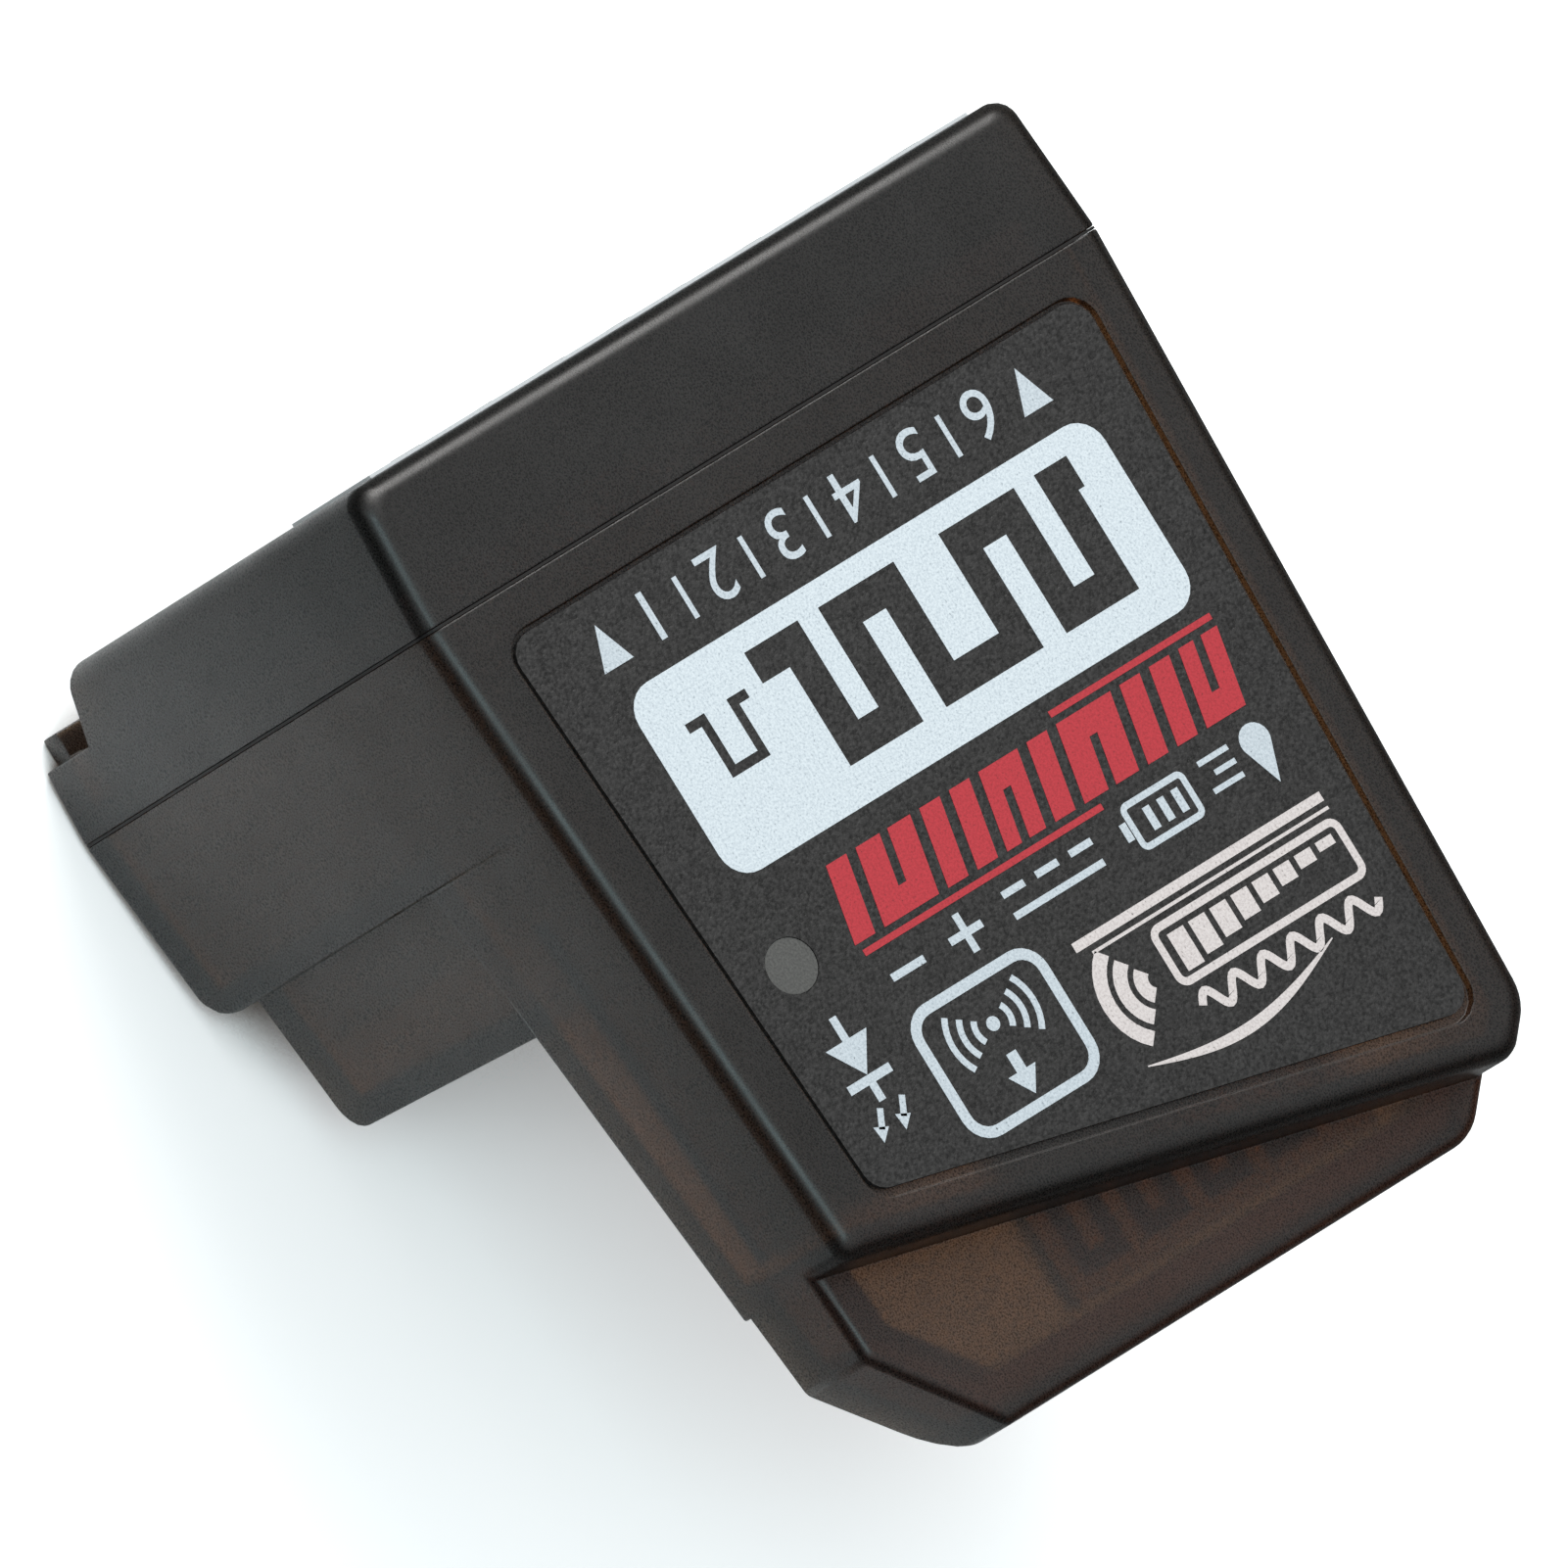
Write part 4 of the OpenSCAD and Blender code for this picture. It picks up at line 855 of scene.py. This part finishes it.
@dataclass
class Electronics:
    """Solder, chip marks and finishes of the boards behind the smoke walls."""

    link_count: int = 8
    pin_w: float = 0.64
    link_w: float = 0.5
    fillet_steps: int = 6
    fillet_sides: int = 14

    def fillets(self, feet: np.ndarray, along: tuple[float, float, float], pad: float, pin: float,
                height: float) -> tuple[np.ndarray, list]:
        """Works out solder fillets round pins.

        The radius falls from the pad's to the pin's as the square of one minus the height's
        share, which is a wetted meniscus, and a last ring closes it on the pin.

        Args:
            feet: Middles of the pads, as rows.
            along: Unit direction of the pins.
            pad: Radius at the foot.
            pin: Radius at the top.
            height: Height of the fillet.

        Returns:
            Points of all fillets and their faces.
        """
        share = np.linspace(0, 1, self.fillet_steps + 1)
        radius = np.append(pin + (pad - pin) * (1 - share) ** 2, 0.0)
        level = np.append(share * height, height)
        turn = np.linspace(0, 2 * math.pi, self.fillet_sides, endpoint=False)
        axis = np.array(along, float)
        side = np.roll(axis, 1)
        other = np.cross(axis, side)
        ring = np.cos(turn)[:, None] * side + np.sin(turn)[:, None] * other
        one = (radius[:, None, None] * ring[None] + (level[:, None] * axis)[:, None]).reshape(-1, 3)
        points = (feet[:, None] + one[None]).reshape(-1, 3)
        k, i = np.meshgrid(np.arange(len(radius) - 1), np.arange(self.fillet_sides), indexing="ij")
        j = (i + 1) % self.fillet_sides
        quads = np.stack((k * self.fillet_sides + i, k * self.fillet_sides + j, (k + 1) * self.fillet_sides + j,
                          (k + 1) * self.fillet_sides + i), -1).reshape(-1, 4)
        base = np.arange(len(feet))[:, None, None] * len(one)
        foot = np.arange(len(feet))[:, None] * len(one) + np.arange(self.fillet_sides)[::-1]
        return points, [*map(tuple, (base + quads[None]).reshape(-1, 4)), *map(tuple, foot)]

    def solder(self) -> None:
        """Puts a fillet at every pin behind the port board and on the main board."""
        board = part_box("port_board")
        port = [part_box(f"port_{i}_pins") for i in range(1, 7)]
        half = self.pin_w / 2 * MM
        feet = [(board[1].x, (low.y + high.y) / 2, z)
                for low, high in port for z in (low.z + half, (low.z + high.z) / 2, high.z - half)]
        low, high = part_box("link_pins")
        across = np.linspace(low.y + self.link_w / 2 * MM, high.y - self.link_w / 2 * MM, self.link_count)
        link_x = high.x - self.link_w / 2 * MM
        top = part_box("main_board")[1].z
        places = [
            ("port_solder", np.array(feet), (1, 0, 0), 0.86, 0.44, 0.62),
            ("link_solder", np.array([(link_x, y, top) for y in across]), (0, 0, 1), 0.66, 0.34, 0.4),
        ]
        for name, at, along, pad, pin, tall in places:
            points, faces = self.fillets(at / MM, along, pad, pin, tall)
            piece = new_piece(name, points, faces, SOLDER, Matrix.Scale(MM, 4))
            piece.data.shade_smooth()

    def marks(self) -> None:
        """Puts a first pin dot in one corner of both chips."""
        for name, inset in (("controller_chip", 1.7), ("radio_chip", 0.6)):
            low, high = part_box(name)
            dot = Print(f"{name}_dot", DOT, Slot.RESIN, thickness=0.01)
            place = Matrix(((0, MM, 0, low.x), (-MM, 0, 0, high.y), (0, 0, MM, high.z), (0, 0, 0, 1)))
            dot.disc((inset, inset), 0.28).build(place)

    def row_ends(self, node: bpy.types.Object, axis: int, cap: float) -> tuple[tuple[float, float], ...]:
        """Finds where the ceramic of small parts lies between its tinned ends.

        The sorted places of a node's corners along an axis come in pairs, one for each row.

        Args:
            node: Packed object of box shaped parts.
            axis: 0 for X and 1 for Y.
            cap: Length of a tinned end.

        Returns:
            Pairs of low and high ends of the bare ceramic in millimetres.
        """
        points = np.zeros(len(node.data.vertices) * 3)
        node.data.vertices.foreach_get("co", points)
        places = np.unique(np.round(points.reshape(-1, 3)[:, axis] / MM, 3))
        return tuple((float(low) + cap, float(high) - cap) for low, high in places.reshape(-1, 2))

    def dress(self, nodes: dict[str, bpy.types.Object]) -> None:
        """Finishes boards, chips and small parts, then adds solder and marks."""
        plain = {"main_board": MaskedLaminate(), "port_board": MaskedLaminate(), "pin_carrier": NYLON,
                 "link_bar": NYLON, "link_pins": GOLD, "radio_chip": RESIN, "crystal": CAN,
                 "filter_choke": FERRITE, "status_lamp": LAMP, "printed_antenna": COPPER,
                 **{f"port_{i}_pins": GOLD for i in range(1, 7)}}
        low, high = (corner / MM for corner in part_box("regulator"))
        plain["regulator"] = TinnedEnds("regulator_resin_and_legs", "#1b1b1d", "#27272a", "X",
                                        ((low.x + 0.75, high.x - 0.75),))
        low, high = (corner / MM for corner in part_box("controller_chip"))
        plain["controller_chip"] = TinnedEnds("controller_resin_and_leads", "#1b1b1d", "#27272a", "X",
                                              ((low.x + 0.9, high.x - 0.9),))
        plain["chip_parts"] = TinnedEnds("chip_ceramic_and_tin", "#8f6f49", "#a98456", "X",
                                         self.row_ends(nodes["chip_parts"], 0, 0.32))
        for name in ("input_capacitor", "output_capacitor"):
            plain[name] = TinnedEnds(f"{name}_ceramic", "#8f6f49", "#a98456", "Y",
                                     self.row_ends(nodes[name], 1, 0.55))
        for name, finish in plain.items():
            assign(nodes[name], finished(finish))
            log.info("%s: %s", name, finish.name)
        self.solder()
        self.marks()


@dataclass
class Studio:
    """Camera, lamps, room and floor for the photograph's view."""

    look_at: tuple[float, float, float] = (6.625, -5.595, 22.971)
    right: tuple[float, float, float] = (0.5255, 0.7397, 0.4287)
    toward: tuple[float, float, float] = (0.0, -0.503, 0.864)
    frame_width: float = 44.47
    lens: float = 1500.0
    sensor: float = 36.0
    floor_z: float = -0.25
    floor_size: float = 900.0
    room: float = 1.1
    mirrored: float = 0.49
    dusk: float = 0.05
    # Reach of the ambient occlusion that paints the contact shadow on the floor, in millimetres.
    painted_shadow_reach: float = 18.0
    sheet: float = 18.0
    sheet_fade: float = 24.0

    def add_camera(self) -> None:
        """Puts a long lens at the photograph's angle and roll."""
        data = bpy.data.cameras.new("photo_camera")
        data.lens, data.sensor_width = self.lens, self.sensor
        data.clip_start, data.clip_end = 0.002, 50.0
        camera = bpy.data.objects.new("photo_camera", data)
        back = Vector(self.toward).normalized()
        right = Vector(self.right)
        right = (right - back * right.dot(back)).normalized()
        up = back.cross(right)
        distance = self.frame_width * self.lens / self.sensor * MM
        camera.matrix_world = Matrix.Translation(Vector(self.look_at) * MM + back * distance) @ Matrix(
            (right, up, back)).transposed().to_4x4()
        bpy.context.collection.objects.link(camera)
        bpy.context.scene.camera = camera

    def add_world(self) -> None:
        """Makes a white room that is white to the eye and dark near the horizon for the light."""
        world = bpy.data.worlds.new("white_room")
        world.use_nodes = True
        tree = world.node_tree
        tree.nodes.clear()
        path = add_node(tree, "ShaderNodeLightPath")
        ray = add_node(tree, "ShaderNodeTexCoord").outputs["Generated"]
        height = add_node(tree, "ShaderNodeSeparateXYZ", {"Vector": ray}).outputs["Z"]
        dome = add_node(tree, "ShaderNodeMapRange", {"Value": height}, interpolation_type="SMOOTHSTEP",
                        in_From_Min=0.35, in_From_Max=0.85, in_To_Min=self.dusk, in_To_Max=1.0)
        level = add_node(tree, "ShaderNodeMix", {0: path.outputs["Is Glossy Ray"]}, in_2=self.room, in_3=self.mirrored)
        lit = add_node(tree, "ShaderNodeMath", {0: dome.outputs["Result"], 1: level.outputs[0]}, operation="MULTIPLY")
        seen = add_node(tree, "ShaderNodeMath",
                        {0: path.outputs["Is Camera Ray"], 1: path.outputs["Is Transmission Ray"]}, operation="MAXIMUM")
        strength = add_node(tree, "ShaderNodeMix", {0: seen.outputs[0], 2: lit.outputs[0]}, in_3=1.0)
        sky = add_node(tree, "ShaderNodeBackground", {"Strength": strength.outputs[0]}, in_Color=linear("#ffffff"))
        add_node(tree, "ShaderNodeOutputWorld", {"Surface": sky.outputs["Background"]})
        bpy.context.scene.world = world

    def add_lamp(self, name: str, place: tuple, size: float, watts: float, colour: str) -> None:
        """Hangs one square soft lamp that faces the part.

        Args:
            name: Name of the lamp.
            place: Place of its middle in millimetres.
            size: Side of its square in millimetres.
            watts: Power of the lamp.
            colour: sRGB hex colour of its light.
        """
        data = bpy.data.lights.new(name, "AREA")
        data.size, data.energy = size * MM, watts
        data.color = linear(colour)[:3]
        lamp = bpy.data.objects.new(name, data)
        away = (Vector(place) - Vector(self.look_at)).normalized()
        lamp.matrix_world = Matrix.Translation(Vector(place) * MM) @ away.to_track_quat("Z", "Y").to_matrix().to_4x4()
        bpy.context.collection.objects.link(lamp)

    def add_floor(self) -> None:
        """Lays the white sweep, white to the eye, whose far part mirrors as dark, past a sheet's edge, and paints a
        brown contact shadow near the part.
        """
        half = self.floor_size / 2 * MM
        mesh = bpy.data.meshes.new("floor")
        mesh.from_pydata([(-half, -half, 0), (half, -half, 0), (half, half, 0), (-half, half, 0)], [], [(0, 1, 2, 3)])
        mesh.transform(Matrix.Translation((0, 0, self.floor_z * MM)))
        floor = bpy.data.objects.new("floor", mesh)
        bpy.context.collection.objects.link(floor)
        material, tree, place = new_material("white_sweep")
        path = add_node(tree, "ShaderNodeLightPath")
        bounce = add_node(tree, "ShaderNodeMath", {0: path.outputs["Is Glossy Ray"]}, operation="MULTIPLY", in_1=0.06)
        below = add_node(tree, "ShaderNodeMath", {0: path.outputs["Is Transmission Ray"], 2: bounce.outputs[0]},
                         operation="MULTIPLY_ADD", in_1=1.3)
        glare = add_node(tree, "ShaderNodeMath", {0: path.outputs["Is Camera Ray"], 2: below.outputs[0]},
                         operation="MULTIPLY_ADD", in_1=0.36)
        # Painted contact shadow: ambient occlusion turns the floor's colour and glow brown and dark close to the part.
        close = add_node(tree, "ShaderNodeAmbientOcclusion", samples=8, in_Distance=self.painted_shadow_reach * MM)
        painted_contact_shadow = add_node(tree, "ShaderNodeValToRGB", {"Fac": close.outputs["AO"]},
                        ramp=[(0.17, linear("#33281f")), (0.31, linear("#77706a")), (0.4, linear("#e9edee")),
                              (0.5, linear("#f8fafb"))])
        paper = add_node(tree, "ShaderNodeBsdfDiffuse", {"Color": painted_contact_shadow.outputs["Color"]})
        glow = add_node(tree, "ShaderNodeEmission", {"Strength": glare.outputs[0], "Color": painted_contact_shadow.outputs["Color"]})
        both = add_node(tree, "ShaderNodeAddShader", {0: paper.outputs["BSDF"], 1: glow.outputs["Emission"]})
        spot = add_node(tree, "ShaderNodeMapping", {"Vector": place}, in_Location=(-8 * MM, 0.0, 0.0),
                        in_Scale=(1.0, 1.2, 1.0))
        reach = add_node(tree, "ShaderNodeVectorMath", {0: spot.outputs["Vector"]}, operation="LENGTH")
        away = add_node(tree, "ShaderNodeMapRange", {"Value": reach.outputs["Value"]}, interpolation_type="SMOOTHSTEP",
                        in_From_Min=self.sheet * MM, in_From_Max=(self.sheet + self.sheet_fade) * MM,
                        in_To_Max=0.85)
        past = add_node(tree, "ShaderNodeMath", {0: away.outputs["Result"], 1: path.outputs["Is Glossy Ray"]},
                        operation="MULTIPLY")
        dark = add_node(tree, "ShaderNodeEmission", in_Strength=0.0)
        mixed = add_node(tree, "ShaderNodeMixShader", {0: past.outputs[0], 1: both.outputs["Shader"],
                                                      2: dark.outputs["Emission"]})
        add_node(tree, "ShaderNodeOutputMaterial", {"Surface": mixed.outputs["Shader"]})
        mesh.materials.append(material)

    def build(self) -> None:
        """Sets the whole studio."""
        self.add_camera()
        self.add_world()
        self.add_lamp("key", (-230.0, 120.0, 250.0), 200.0, 1.0, "#fffdfa")
        self.add_lamp("edge_light", (10.0, -140.0, 330.0), 130.0, 0.26, "#c4e6ea")
        self.add_floor()
        bpy.context.scene.view_settings.view_transform = "Standard"
        log.info("studio: camera, lamps, room and floor")


def main() -> None:
    """Builds the studio and every sub-assembly in order."""
    logging.basicConfig(level=logging.INFO, format="%(name)s: %(message)s")
    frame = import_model()
    nodes = frame["nodes"]
    Studio().build()
    Shell().dress(nodes)
    assign(nodes["face_label"], finished(FILM))
    assign(nodes["port_label"], finished(PAPER))
    FaceLabel().dress()
    PortLabel().dress()
    Electronics().dress(nodes)


if __name__ == "__main__":
    main()
